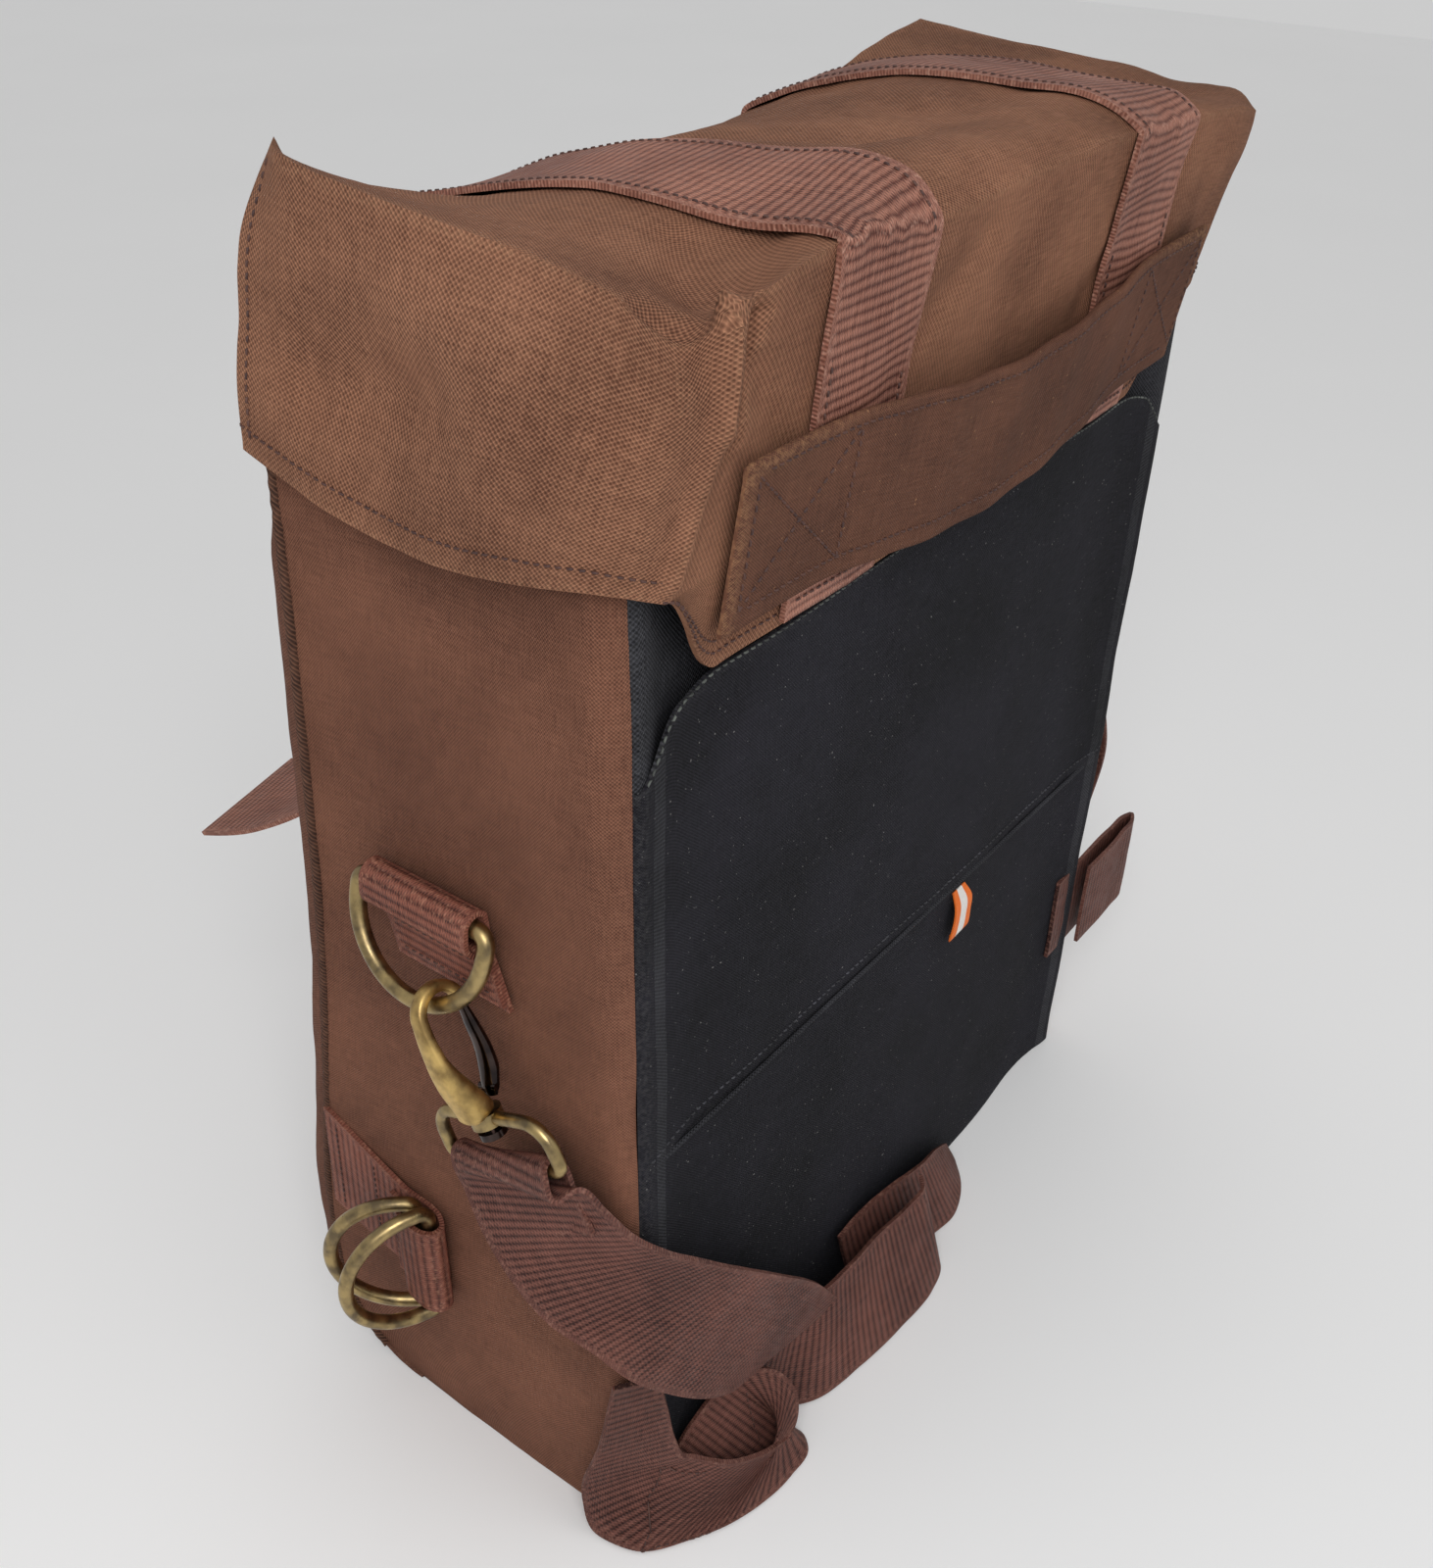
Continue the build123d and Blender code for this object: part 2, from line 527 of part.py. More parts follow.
body_shell()
front_piping()
rim_and_lining()
rack_pocket()
lid_shell()
lid_straps()
carry_handle()
ring_bar_x = side_ring_set()
low_side_rings()
closure_rings()
hook_at = snap_hook(ring_bar_x)
shoulder_strap(hook_at)
corner_loops()
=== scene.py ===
import json
import math

import bmesh
import bpy
import numpy as np
from mathutils import Matrix, Vector, noise
from mathutils.bvhtree import BVHTree
from mathutils.kdtree import KDTree


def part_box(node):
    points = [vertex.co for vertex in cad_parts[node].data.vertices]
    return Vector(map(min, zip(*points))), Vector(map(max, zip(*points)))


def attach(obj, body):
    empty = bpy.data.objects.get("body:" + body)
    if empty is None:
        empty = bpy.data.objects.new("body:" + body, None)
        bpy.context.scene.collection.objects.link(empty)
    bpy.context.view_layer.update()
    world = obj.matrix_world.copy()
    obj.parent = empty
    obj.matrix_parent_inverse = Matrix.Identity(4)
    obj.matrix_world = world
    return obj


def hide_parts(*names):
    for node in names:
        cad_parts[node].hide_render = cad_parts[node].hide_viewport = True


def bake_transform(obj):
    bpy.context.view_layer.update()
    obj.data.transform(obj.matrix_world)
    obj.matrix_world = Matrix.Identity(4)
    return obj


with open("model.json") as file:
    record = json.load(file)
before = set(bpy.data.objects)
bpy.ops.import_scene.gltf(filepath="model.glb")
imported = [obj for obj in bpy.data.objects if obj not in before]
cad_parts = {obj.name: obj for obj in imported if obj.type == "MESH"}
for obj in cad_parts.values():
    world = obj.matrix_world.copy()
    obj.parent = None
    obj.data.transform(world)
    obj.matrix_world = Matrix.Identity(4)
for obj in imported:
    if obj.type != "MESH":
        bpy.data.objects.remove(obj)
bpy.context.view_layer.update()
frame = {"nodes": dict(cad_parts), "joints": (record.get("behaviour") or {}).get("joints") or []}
nodes = frame["nodes"]
joints = {joint["name"]: joint for joint in frame["joints"]}

# Canvas saddlebag. Places and sizes below are millimetres in the CAD frame: +X is the side
# that is seen, +Y the black rack side, -Y the front. Meshes are made in metres.
MM = 0.001


def low(node):
    return np.array(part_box(node)[0]) / MM


def high(node):
    return np.array(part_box(node)[1]) / MM


HALF = high("side_panel_right")[0]         # half the body's width
RACK_Y = high("pocket_panel_lower")[1]     # outer face of the rack pocket
WALL_Y = high("back_panel")[1]             # back wall behind the pocket
MOUTH_Z = high("rim_binding")[2]
POCKET_TOP = high("pocket_panel_upper")[2]
SEAM_Z = low("pocket_panel_upper")[2]      # seam across the rack pocket
STRAP_X = (low("lid_strap_right")[0] + high("lid_strap_right")[0]) / 2
WEB = 50.0                                 # width of all webbing
WEB_THICK = 1.9
ACROSS = np.linspace(-WEB / 2, WEB / 2, 13)
CANVAS = 1.8
INSIDE = (0.0, 0.0, 230.0)                 # a point inside the bag, to tell out from in


# --- curves and surfaces ---
def curve(points, count):
    """count points, evenly spaced along a smooth line through the given points."""
    p = np.asarray(points, float)
    gaps = np.linalg.norm(np.diff(p, axis=0), axis=1) + 1e-6
    knots = np.concatenate([[0.0], np.cumsum(gaps)])
    if len(p) > 2:
        slopes = np.gradient(p, knots, axis=0)
    else:
        slopes = np.repeat((p[1:] - p[:1]) / knots[1], 2, axis=0)
    t = np.linspace(0.0, knots[-1], 24 * len(p))
    i = np.clip(np.searchsorted(knots, t, side="right") - 1, 0, len(p) - 2)
    h = (knots[i + 1] - knots[i])[:, None]
    s = (t - knots[i])[:, None] / h
    fine = ((1 + 2 * s) * (1 - s) ** 2 * p[i] + s * (1 - s) ** 2 * h * slopes[i]
            + s * s * (3 - 2 * s) * p[i + 1] + s * s * (s - 1) * h * slopes[i + 1])
    run = np.concatenate([[0.0], np.cumsum(np.linalg.norm(np.diff(fine, axis=0), axis=1))])
    even = np.linspace(0.0, run[-1], count)
    return np.stack([np.interp(even, run, fine[:, k]) for k in range(p.shape[1])], axis=1)


def patch(rows, along, across):
    """Smooth surface through rows of points, along x across points of it."""
    lines = np.stack([curve(row, across) for row in rows])
    return np.stack([curve(lines[:, k], along) for k in range(across)], axis=1)


def band(edge_a, edge_b, along, across=13):
    """Webbing between two edge lines, each given by a few points."""
    a, b = curve(edge_a, along), curve(edge_b, along)
    s = np.linspace(0.0, 1.0, across)[None, :, None]
    return a[:, None] * (1 - s) + b[:, None] * s


def flip(points, sign):
    """The points for the seen side, or mirrored for the other side when sign is -1."""
    return np.asarray(points, float) * np.array([sign, 1.0, 1.0])


def sided(name, sign):
    return name + ("_right" if sign > 0 else "_left")


def both_halves(half):
    """A whole section, from a half that ends in the middle."""
    return half + [(-x, depth) for x, depth in reversed(half[:-1])]


def directions(line):
    """Unit tangent at each point of a line."""
    tangent = np.gradient(line, axis=0)
    return tangent / np.linalg.norm(tangent, axis=1)[:, None]


def turns(count):
    """Evenly spaced angles of a whole circle."""
    return np.linspace(0, 2 * math.pi, count, endpoint=False)


def squared(value, power):
    """A sine or cosine bent towards a rounded square, for powers under 1."""
    return math.copysign(abs(value) ** power, value)


def smooth(value, start, end):
    """0 before start, 1 after end, and a smooth step between."""
    t = np.clip((value - start) / (end - start), 0.0, 1.0)
    return t * t * (3 - 2 * t)


def grid_normals(grid):
    return np.cross(np.gradient(grid, axis=0), np.gradient(grid, axis=1))


def lengths(grid, axis):
    """Mean running length of a grid along one axis, in metres."""
    steps = np.linalg.norm(np.diff(grid, axis=axis), axis=2).mean(axis=1 - axis)
    return np.concatenate([[0.0], np.cumsum(steps)]) * MM


# --- meshes ---
def add_grid(mesh, uv, grid, inside, width=None):
    normals = grid_normals(grid)
    outward = (normals * (grid - np.asarray(inside))).sum() > 0
    along, across = lengths(grid, 0), lengths(grid, 1)
    if width:
        across = across * width * MM / across[-1]
    middle = across[-1] / 2
    rows, columns = grid.shape[:2]
    verts = [[mesh.verts.new(grid[i, j] * MM) for j in range(columns)] for i in range(rows)]
    for i in range(rows - 1):
        for j in range(columns - 1):
            corners = [(i, j), (i + 1, j), (i + 1, j + 1), (i, j + 1)]
            if not outward:
                corners.reverse()
            face = mesh.faces.new([verts[a][b] for a, b in corners])
            face.smooth = True
            for loop, (a, b) in zip(face.loops, corners):
                loop[uv].uv = (along[a], across[b] - middle)


def rumple(mesh, amount, size, seed):
    """Moves each point along its normal by smooth noise, for slack cloth."""
    shift = Vector((seed * 7.13, seed * 3.71, seed * 1.37))
    for vert in mesh.verts:
        place = vert.co / (size * MM) + shift
        vert.co += vert.normal * amount * MM * (noise.noise(place) + 0.4 * noise.noise(place * 2.3))


def dent(mesh, start, end, radius, depth):
    """Sinks (or, for a negative depth, raises) the cloth along a soft line."""
    a, b = Vector(start) * MM, Vector(end) * MM
    run = b - a
    for vert in mesh.verts:
        share = min(max((vert.co - a).dot(run) / run.length_squared, 0.0), 1.0)
        gap = (vert.co - a - run * share).length / (radius * MM)
        if gap < 3.0:
            vert.co -= vert.normal * depth * MM * math.exp(-gap * gap)


def wear_of(mesh, reach):
    """Wear from 0 to 1 for each point: high on cut edges and on ridges."""
    rim = [v for v in mesh.verts if v.is_boundary]
    tree = KDTree(max(len(rim), 1))
    for k, vert in enumerate(rim):
        tree.insert(vert.co, k)
    tree.balance()
    wear = []
    for vert in mesh.verts:
        edge = math.exp(-tree.find(vert.co)[2] / (reach * MM)) if rim else 0.0
        bend = 0.0
        for link in vert.link_edges:
            other = link.other_vert(vert)
            gap = other.co - vert.co
            bend += (other.normal - vert.normal).dot(gap) / max(gap.length_squared, 1e-9)
        ridge = bend * MM * 9.0 / max(len(vert.link_edges), 1)
        wear.append(min(1.0, max(0.0, edge) + min(max(ridge, 0.0), 0.8)))
    return wear


def finish_mesh(name, mesh, material):
    data = bpy.data.meshes.new(name)
    mesh.to_mesh(data)
    mesh.free()
    data.materials.append(material)
    piece = bpy.data.objects.new(name, data)
    bpy.context.scene.collection.objects.link(piece)
    return piece


def thicken(piece, thick, offset):
    """Gives a surface its thickness, as real geometry."""
    modifier = piece.modifiers.new("thickness", "SOLIDIFY")
    modifier.thickness = thick * MM
    modifier.offset = offset
    bpy.context.view_layer.update()
    solid = piece.evaluated_get(bpy.context.evaluated_depsgraph_get())
    data = bpy.data.meshes.new_from_object(solid)
    piece.modifiers.clear()
    piece.data = data
    data.set_sharp_from_angle(angle=math.radians(60))


def store_wear(piece, wear):
    """Keeps the wear of each point, which the cloth materials read."""
    layer = piece.data.attributes.new("wear", "FLOAT", "POINT")
    layer.data.foreach_set("value", wear)


def cloth(name, grids, material, thick=CANVAS, offset=-1.0, waves=(), dents=(), inside=INSIDE,
          reach=2.5, width=None):
    """One piece of cloth from surfaces that share edges.

    waves are (amount, size, seed), dents are (start, end, radius, depth), and width is the
    cut width where the weave must keep to it.
    """
    mesh = bmesh.new()
    uv = mesh.loops.layers.uv.new("cloth")
    for grid in grids:
        add_grid(mesh, uv, np.asarray(grid, float), inside, width)
    bmesh.ops.remove_doubles(mesh, verts=mesh.verts, dist=0.15 * MM)
    mesh.normal_update()
    for amount, size, seed in waves:
        rumple(mesh, amount, size, seed)
    for line in dents:
        dent(mesh, *line)
    for vert in mesh.verts:
        vert.co.z = max(vert.co.z, 0.3 * MM)
    mesh.normal_update()
    wear = wear_of(mesh, reach)
    piece = finish_mesh(name, mesh, material)
    store_wear(piece, wear)
    thicken(piece, thick, offset)
    return piece


def strip(name, grid, material, inside, waves=(), offset=0.0):
    """Strip of webbing, whose weave keeps to its cut width."""
    return cloth(name, [grid], material, WEB_THICK, offset, waves, inside=inside, width=WEB)


def loft(name, sections, material):
    """Closed form through rings of points, with a cap on each end."""
    sections = np.asarray(sections, float)
    count, around = sections.shape[:2]
    mesh = bmesh.new()
    uv = mesh.loops.layers.uv.new("cloth")
    verts = [[mesh.verts.new(p * MM) for p in ring] for ring in sections]
    closed = np.concatenate([sections, sections[:, :1]], axis=1)
    along, turn = lengths(closed, 0), lengths(closed, 1)
    for i in range(count - 1):
        for j in range(around):
            k = (j + 1) % around
            face = mesh.faces.new([verts[i][j], verts[i + 1][j], verts[i + 1][k], verts[i][k]])
            face.smooth = True
            for loop, (a, b) in zip(face.loops, ((i, j), (i + 1, j), (i + 1, j + 1), (i, j + 1))):
                loop[uv].uv = (along[a], turn[b])
    for ring in (verts[0], verts[-1]):
        mesh.faces.new(ring)
    bmesh.ops.recalc_face_normals(mesh, faces=mesh.faces)
    piece = finish_mesh(name, mesh, material)
    piece.data.set_sharp_from_angle(angle=math.radians(50))
    return piece


def surface_of(piece):
    return BVHTree.FromPolygons([v.co for v in piece.data.vertices],
                                [list(p.vertices) for p in piece.data.polygons])


def seat(tree, points, lift, push=6.0, inside=INSIDE):
    """Points set on a surface, lift above it, from guesses that are pushed outward first."""
    placed, outs = [], []
    for point in np.asarray(points, float).reshape(-1, 3):
        away = Vector(point - np.asarray(inside)).normalized()
        place, normal, _, _ = tree.find_nearest(Vector(point) * MM + away * push * MM)
        if normal.dot(away) < 0:
            normal = -normal
        placed.append(np.array(place) / MM + np.array(normal) * lift)
        outs.append(np.array(normal))
    shape = np.asarray(points).shape
    return np.array(placed).reshape(shape), np.array(outs).reshape(shape)


def fit(piece, body, slot, *replaced):
    """Puts a piece on its body, in place of the CAD solids it stands for."""
    if replaced:
        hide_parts(*replaced)
    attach(piece, body)


def declare(piece, grid, held, *rests_on):
    """Works out the cut length of a strip of webbing, its own length along the middle, and does nothing more
    with it.
    """
    length = round(float(lengths(np.asarray(grid), 0)[-1]), 3)


# --- stitches ---
STITCH = 3.3
THREAD = 0.42


def add_stitch(mesh, start, end, out):
    """One stitch: a short thread that dips into the cloth at both ends."""
    run = end - start
    side = np.cross(run, out)
    side = side / max(np.linalg.norm(side), 1e-9)
    rings = []
    for share, size, height in ((0.0, 0.5, -0.35), (0.2, 1.0, 0.12), (0.8, 1.0, 0.12), (1.0, 0.5, -0.35)):
        centre = start + run * share + out * height
        around = [math.cos(a) * side + math.sin(a) * out for a in turns(6)]
        rings.append([mesh.verts.new((centre + THREAD * size * way) * MM) for way in around])
    for first, second in zip(rings, rings[1:]):
        for j in range(6):
            k = (j + 1) % 6
            mesh.faces.new([first[j], second[j], second[k], first[k]]).smooth = True
    mesh.faces.new(rings[0])
    mesh.faces.new(rings[-1])


def stitch_rows(name, piece, rows, body, material):
    """Rows of stitches on a piece. A row is a few points near its surface."""
    tree = surface_of(piece)
    mesh = bmesh.new()
    for row in rows:
        row = np.asarray(row, float)
        length = np.linalg.norm(np.diff(row, axis=0), axis=1).sum()
        count = max(2, int(length / STITCH) * 3)
        line = curve(row, count + 1)
        line, outs = seat(tree, line, 0.05, push=1.5)
        for k in range(0, count - 2, 3):
            add_stitch(mesh, line[k], line[k + 2], outs[k + 1])
    bmesh.ops.recalc_face_normals(mesh, faces=mesh.faces)
    threads = finish_mesh(name, mesh, material)
    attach(threads, body)


# --- materials ---
class Graph:
    """Builds the node tree of one material."""

    def __init__(self, name, **sockets):
        self.material = bpy.data.materials.new(name)
        self.material.use_nodes = True
        self.tree = self.material.node_tree
        self.shader = self.tree.nodes["Principled BSDF"]
        for key, value in sockets.items():
            self.shader.inputs[key.replace("_", " ")].default_value = value

    def add(self, kind, **settings):
        node = self.tree.nodes.new("ShaderNode" + kind)
        for key, value in settings.items():
            setattr(node, key, value)
        return node

    def plug(self, socket, value):
        if isinstance(value, bpy.types.NodeSocket):
            self.tree.links.new(value, socket)
        else:
            socket.default_value = value

    def math(self, operation, *values):
        node = self.add("Math", operation=operation)
        for socket, value in zip(node.inputs, values):
            self.plug(socket, value)
        return node.outputs[0]

    def times(self, a, b):
        return self.math("MULTIPLY", a, b)

    def plus(self, a, b):
        return self.math("ADD", a, b)

    def clamped(self, value):
        return self.math("MINIMUM", self.math("MAXIMUM", value, 0.0), 1.0)

    def mix(self, share, a, b):
        node = self.add("Mix", data_type="RGBA")
        self.plug(node.inputs[0], share)
        self.plug(node.inputs[6], a)
        self.plug(node.inputs[7], b)
        return node.outputs[2]

    def remap(self, value, start, end, to_start=0.0, to_end=1.0):
        node = self.add("MapRange")
        for socket, given in zip(node.inputs, (value, start, end, to_start, to_end)):
            self.plug(socket, given)
        return node.outputs[0]

    def noise(self, size, detail=3.0, vector=None):
        """Noise whose blobs are about size millimetres."""
        node = self.add("TexNoise")
        self.plug(node.inputs["Vector"], vector or self.place())
        self.plug(node.inputs["Scale"], 1.0 / (size * MM))
        self.plug(node.inputs["Detail"], detail)
        return node.outputs[0]

    def place(self):
        return self.add("TexCoord").outputs["Object"]

    def uv(self):
        """Metres along the cloth and across it, measured from its middle."""
        node = self.add("SeparateXYZ")
        self.tree.links.new(self.add("UVMap", uv_map="cloth").outputs[0], node.inputs[0])
        return node.outputs[0], node.outputs[1]

    def stretched(self, u_size, v_size):
        """Noise with blobs of u_size by v_size millimetres in the cloth's own directions."""
        u, v = self.uv()
        node = self.add("CombineXYZ")
        self.plug(node.inputs[0], self.times(u, 1.0 / (u_size * MM)))
        self.plug(node.inputs[1], self.times(v, 1.0 / (v_size * MM)))
        texture = self.add("TexNoise")
        self.plug(texture.inputs["Vector"], node.outputs[0])
        self.plug(texture.inputs["Scale"], 1.0)
        return texture.outputs[0]

    def wave(self, value, pitch, shift=0.0):
        """Sine of a length, with one period per pitch millimetres."""
        turns = self.math("MULTIPLY_ADD", value, 2 * math.pi / (pitch * MM), shift)
        return self.math("SINE", turns)

    def wear(self):
        return self.add("Attribute", attribute_name="wear").outputs["Fac"]

    def finish(self, colour, height=None, depth=0.2, strength=0.8, roughness=None):
        """Links colour, roughness, and bump of depth millimetres, and returns the material."""
        self.plug(self.shader.inputs["Base Color"], colour)
        if roughness is not None:
            self.plug(self.shader.inputs["Roughness"], roughness)
        if height is not None:
            bump = self.add("Bump")
            self.plug(bump.inputs["Strength"], strength)
            self.plug(bump.inputs["Distance"], depth * MM)
            self.plug(bump.inputs["Height"], height)
            self.tree.links.new(bump.outputs[0], self.shader.inputs["Normal"])
        return self.material


def rgb(red, green, blue):
    """Linear colour of an 8-bit screen colour."""
    return tuple(((c / 255 + 0.055) / 1.055) ** 2.4 for c in (red, green, blue)) + (1.0,)


def canvas(name, dark, light, worn, pitch=1.25, specks=0.0, wear=0.8, depth=0.22):
    """Plain-woven duck: small oval crossings with painted shade in the gaps between them, slubs, faded
    patches and worn edges.
    """
    g = Graph(name, Roughness=0.92, Specular_IOR_Level=0.18)
    u, v = g.uv()
    weave = g.times(g.wave(u, pitch), g.wave(v, pitch * 0.92))
    slubs = g.plus(g.stretched(9.0, 0.9), g.stretched(0.9, 11.0))
    patches = g.noise(55.0, 4.0)
    # Colour follows the weave's height, so the gaps between threads come out darker: painted shade.
    tone = g.math("MULTIPLY_ADD", weave, 0.38, g.math("MULTIPLY_ADD", slubs, 0.6, -0.6))
    tone = g.plus(tone, g.remap(patches, 0.3, 0.7, 0.28, 0.72))
    colour = g.mix(g.clamped(tone), dark, light)
    rubbed = g.times(g.wear(), g.remap(g.noise(1.4, 5.0), 0.4, 0.75))
    colour = g.mix(g.times(rubbed, wear), colour, worn)
    if specks:
        dust = g.remap(g.noise(1.3, 1.0), 0.74, 0.80)
        colour = g.mix(g.times(dust, specks), colour, worn)
    height = g.plus(weave, g.times(slubs, 0.8))
    roughness = g.remap(patches, 0.3, 0.7, 0.86, 0.97)
    return g.finish(colour, height, depth, 0.9, roughness)


def webbing(name, dark, light, worn, pitch=3.5):
    """Ribbed webbing: cords across it, short floats of yarn over them, plain selvages, and painted shade in
    the grooves.
    """
    g = Graph(name, Roughness=0.62, Specular_IOR_Level=0.25)
    u, v = g.uv()
    rib = g.math("ABSOLUTE", g.wave(u, pitch * 2))
    lean = g.plus(u, g.times(v, 0.35))
    floats = g.times(g.wave(v, 1.15), g.wave(lean, pitch))
    middle = g.remap(g.math("ABSOLUTE", v), 0.0225, 0.0232, 1.0, 0.0)
    selvage = g.times(g.wave(u, 1.3), g.wave(v, 1.1))
    ribbed = g.times(middle, g.math("MULTIPLY_ADD", floats, 0.45, rib))
    plain = g.times(g.math("SUBTRACT", 1.0, middle), g.math("MULTIPLY_ADD", selvage, 0.3, 0.7))
    height = g.plus(ribbed, plain)
    yarns = g.remap(g.stretched(14.0, 1.2), 0.2, 0.8, -0.2, 0.2)
    # Colour follows the height, so the grooves between the cords are painted shade; the floats are lighter
    # yarn and also come out lighter for standing higher.
    tone = g.plus(g.remap(height, 0.0, 1.4, 0.05, 0.8), yarns)
    tone = g.plus(tone, g.remap(g.noise(40.0), 0.3, 0.7, -0.15, 0.15))
    colour = g.mix(g.clamped(tone), dark, light)
    rubbed = g.times(g.wear(), g.remap(g.noise(1.5, 3.0), 0.5, 0.7))
    colour = g.mix(g.times(rubbed, 0.5), colour, worn)
    return g.finish(colour, height, 0.45, 0.9, g.remap(g.noise(8.0), 0.3, 0.7, 0.52, 0.72))


def metal(name, base, patina, roughness=(0.22, 0.42), brushed=0.0):
    """Plated metal with darker patina patches, fine scratches and smudged gloss."""
    g = Graph(name, Metallic=1.0, Roughness=0.3)
    blotch = g.remap(g.noise(7.0, 5.0), 0.38, 0.66)
    colour = g.mix(blotch, base, patina)
    scratches = g.noise(0.5, 2.0)
    rough = g.plus(g.remap(g.noise(4.0, 4.0), 0.3, 0.7, *roughness),
                   g.times(scratches, 0.08 + brushed))
    return g.finish(colour, scratches, 0.02 + 0.05 * brushed, 0.35, rough)


def twist(name, dark, light):
    """Welt cord whose yarns run round it on a slant."""
    g = Graph(name, Roughness=0.85, Specular_IOR_Level=0.2)
    u, v = g.uv()
    yarns = g.wave(g.plus(u, g.times(v, 0.8)), 1.9)
    tone = g.plus(g.remap(yarns, -1.0, 1.0, 0.1, 0.75), g.remap(g.noise(3.0), 0.3, 0.7, -0.2, 0.2))
    return g.finish(g.mix(tone, dark, light), yarns, 0.35, 1.0)


def thread_material(name, colour, light):
    g = Graph(name, Roughness=0.6)
    tone = g.remap(g.noise(6.0, 4.0), 0.4, 0.75)
    strands = g.noise(0.5)
    return g.finish(g.mix(tone, colour, light), strands, 0.1)


def tag_material():
    """Woven ribbon: a white stripe between two orange ones."""
    g = Graph("tag_ribbon", Roughness=0.7)
    u, v = g.uv()
    stripe = g.remap(g.math("ABSOLUTE", v), 0.0026, 0.0030, 1.0, 0.0)
    ribs = g.times(g.wave(u, 0.9), g.wave(v, 0.8))
    orange = g.mix(g.remap(ribs, -1.0, 1.0), rgb(224, 92, 16), rgb(255, 134, 40))
    return g.finish(g.mix(stripe, orange, rgb(236, 232, 226)), ribs, 0.15)


def board_material():
    g = Graph("stiffener_board", Roughness=0.6)
    tone = g.remap(g.noise(3.0, 5.0), 0.3, 0.7)
    return g.finish(g.mix(tone, rgb(38, 38, 40), rgb(54, 54, 56)), g.noise(0.8), 0.05)


def floor_material():
    g = Graph("studio_floor", Roughness=0.85)
    return g.finish(g.mix(g.noise(400.0), rgb(246, 246, 246), rgb(250, 250, 250)))


BODY = canvas("body_duck", rgb(76, 46, 35), rgb(140, 95, 75), rgb(166, 124, 98), 1.35, 0.25, 0.15)
# Front canvas: a darker copy of the body canvas, painting the shade on the front, which faces away from the
# light.
FRONT = canvas("front_duck_shaded", rgb(70, 44, 37), rgb(126, 86, 70), rgb(156, 118, 96), specks=0.2, wear=0.25)
# Lid canvas: a lighter copy of the body canvas, painting the light that falls on the lid's flaps; its coarser
# weave and its wear are its own.
LID = canvas("lid_duck_lit", rgb(84, 52, 38), rgb(166, 118, 92), rgb(196, 152, 118), 1.7, 0.2, 0.3, 0.34)
HANDLE = canvas("handle_duck", rgb(62, 38, 29), rgb(124, 84, 66), rgb(190, 144, 104), 1.1, 0.5, 0.5)
BLACK = canvas("black_nylon", rgb(2, 2, 5), rgb(44, 43, 50), rgb(150, 148, 146), 1.3, 0.6, 0.1, 0.2)
# Lighter, coarser copy of the black nylon: its pale weave paints the highlights on the lit band by the
# pocket's corners, on the back wall and on the seam's fold.
BLACK_LIT = canvas("black_lit_weave", rgb(4, 4, 7), rgb(68, 68, 73), rgb(130, 130, 132), 1.7, 0.3, 0.15, 0.35)
LINING = canvas("lining_cloth", rgb(46, 42, 38), rgb(72, 66, 60), rgb(90, 84, 76), 0.8)
STRAP = webbing("strap_webbing", rgb(46, 22, 19), rgb(134, 86, 74), rgb(160, 116, 100))
LID_STRAP = webbing("lid_webbing", rgb(84, 44, 35), rgb(186, 130, 110), rgb(206, 160, 140), 3.3)
TAB = webbing("tab_webbing", rgb(64, 30, 24), rgb(158, 98, 80), rgb(184, 132, 108))
PIPING = twist("welt_cord", rgb(58, 38, 31), rgb(122, 86, 68))
BRASS = metal("antique_brass", (0.42, 0.31, 0.14, 1), (0.16, 0.12, 0.07, 1))
BRUSHED = metal("brushed_brass", (0.66, 0.46, 0.17, 1), (0.30, 0.20, 0.08, 1), (0.26, 0.4), 0.15)
DARK = metal("dark_steel", (0.07, 0.05, 0.045, 1), (0.03, 0.025, 0.025, 1), (0.08, 0.2))
BROWN_THREAD = thread_material("brown_thread", rgb(58, 32, 27), rgb(92, 58, 46))
PALE_THREAD = thread_material("grey_thread", rgb(48, 50, 48), rgb(104, 108, 102))
BLACK_THREAD = thread_material("black_thread", rgb(22, 22, 26), rgb(70, 70, 78))
TAG = tag_material()
BOARD = board_material()


# --- body ---
CORNER = 45.0                # radius of the bottom front corner
FRONT_DEPTH = 12.5           # the front stands this far in front of its side seams
REAR_ROUND = 10.0            # radius of the rear corners


def front_seam(count):
    """Seam between side and front as (y, z) points, from the mouth to under the front."""
    y_low = -80.0
    points = [(-42, MOUTH_Z), (-48, 350), (-56, 250), (-68, 165), (y_low + 1, 95), (y_low, 60)]
    for turn in (8, 30, 52, 74, 90):
        a = math.radians(turn)
        points.append((y_low + CORNER * (1 - math.cos(a)), CORNER * (1 - math.sin(a))))
    return curve(points, count)


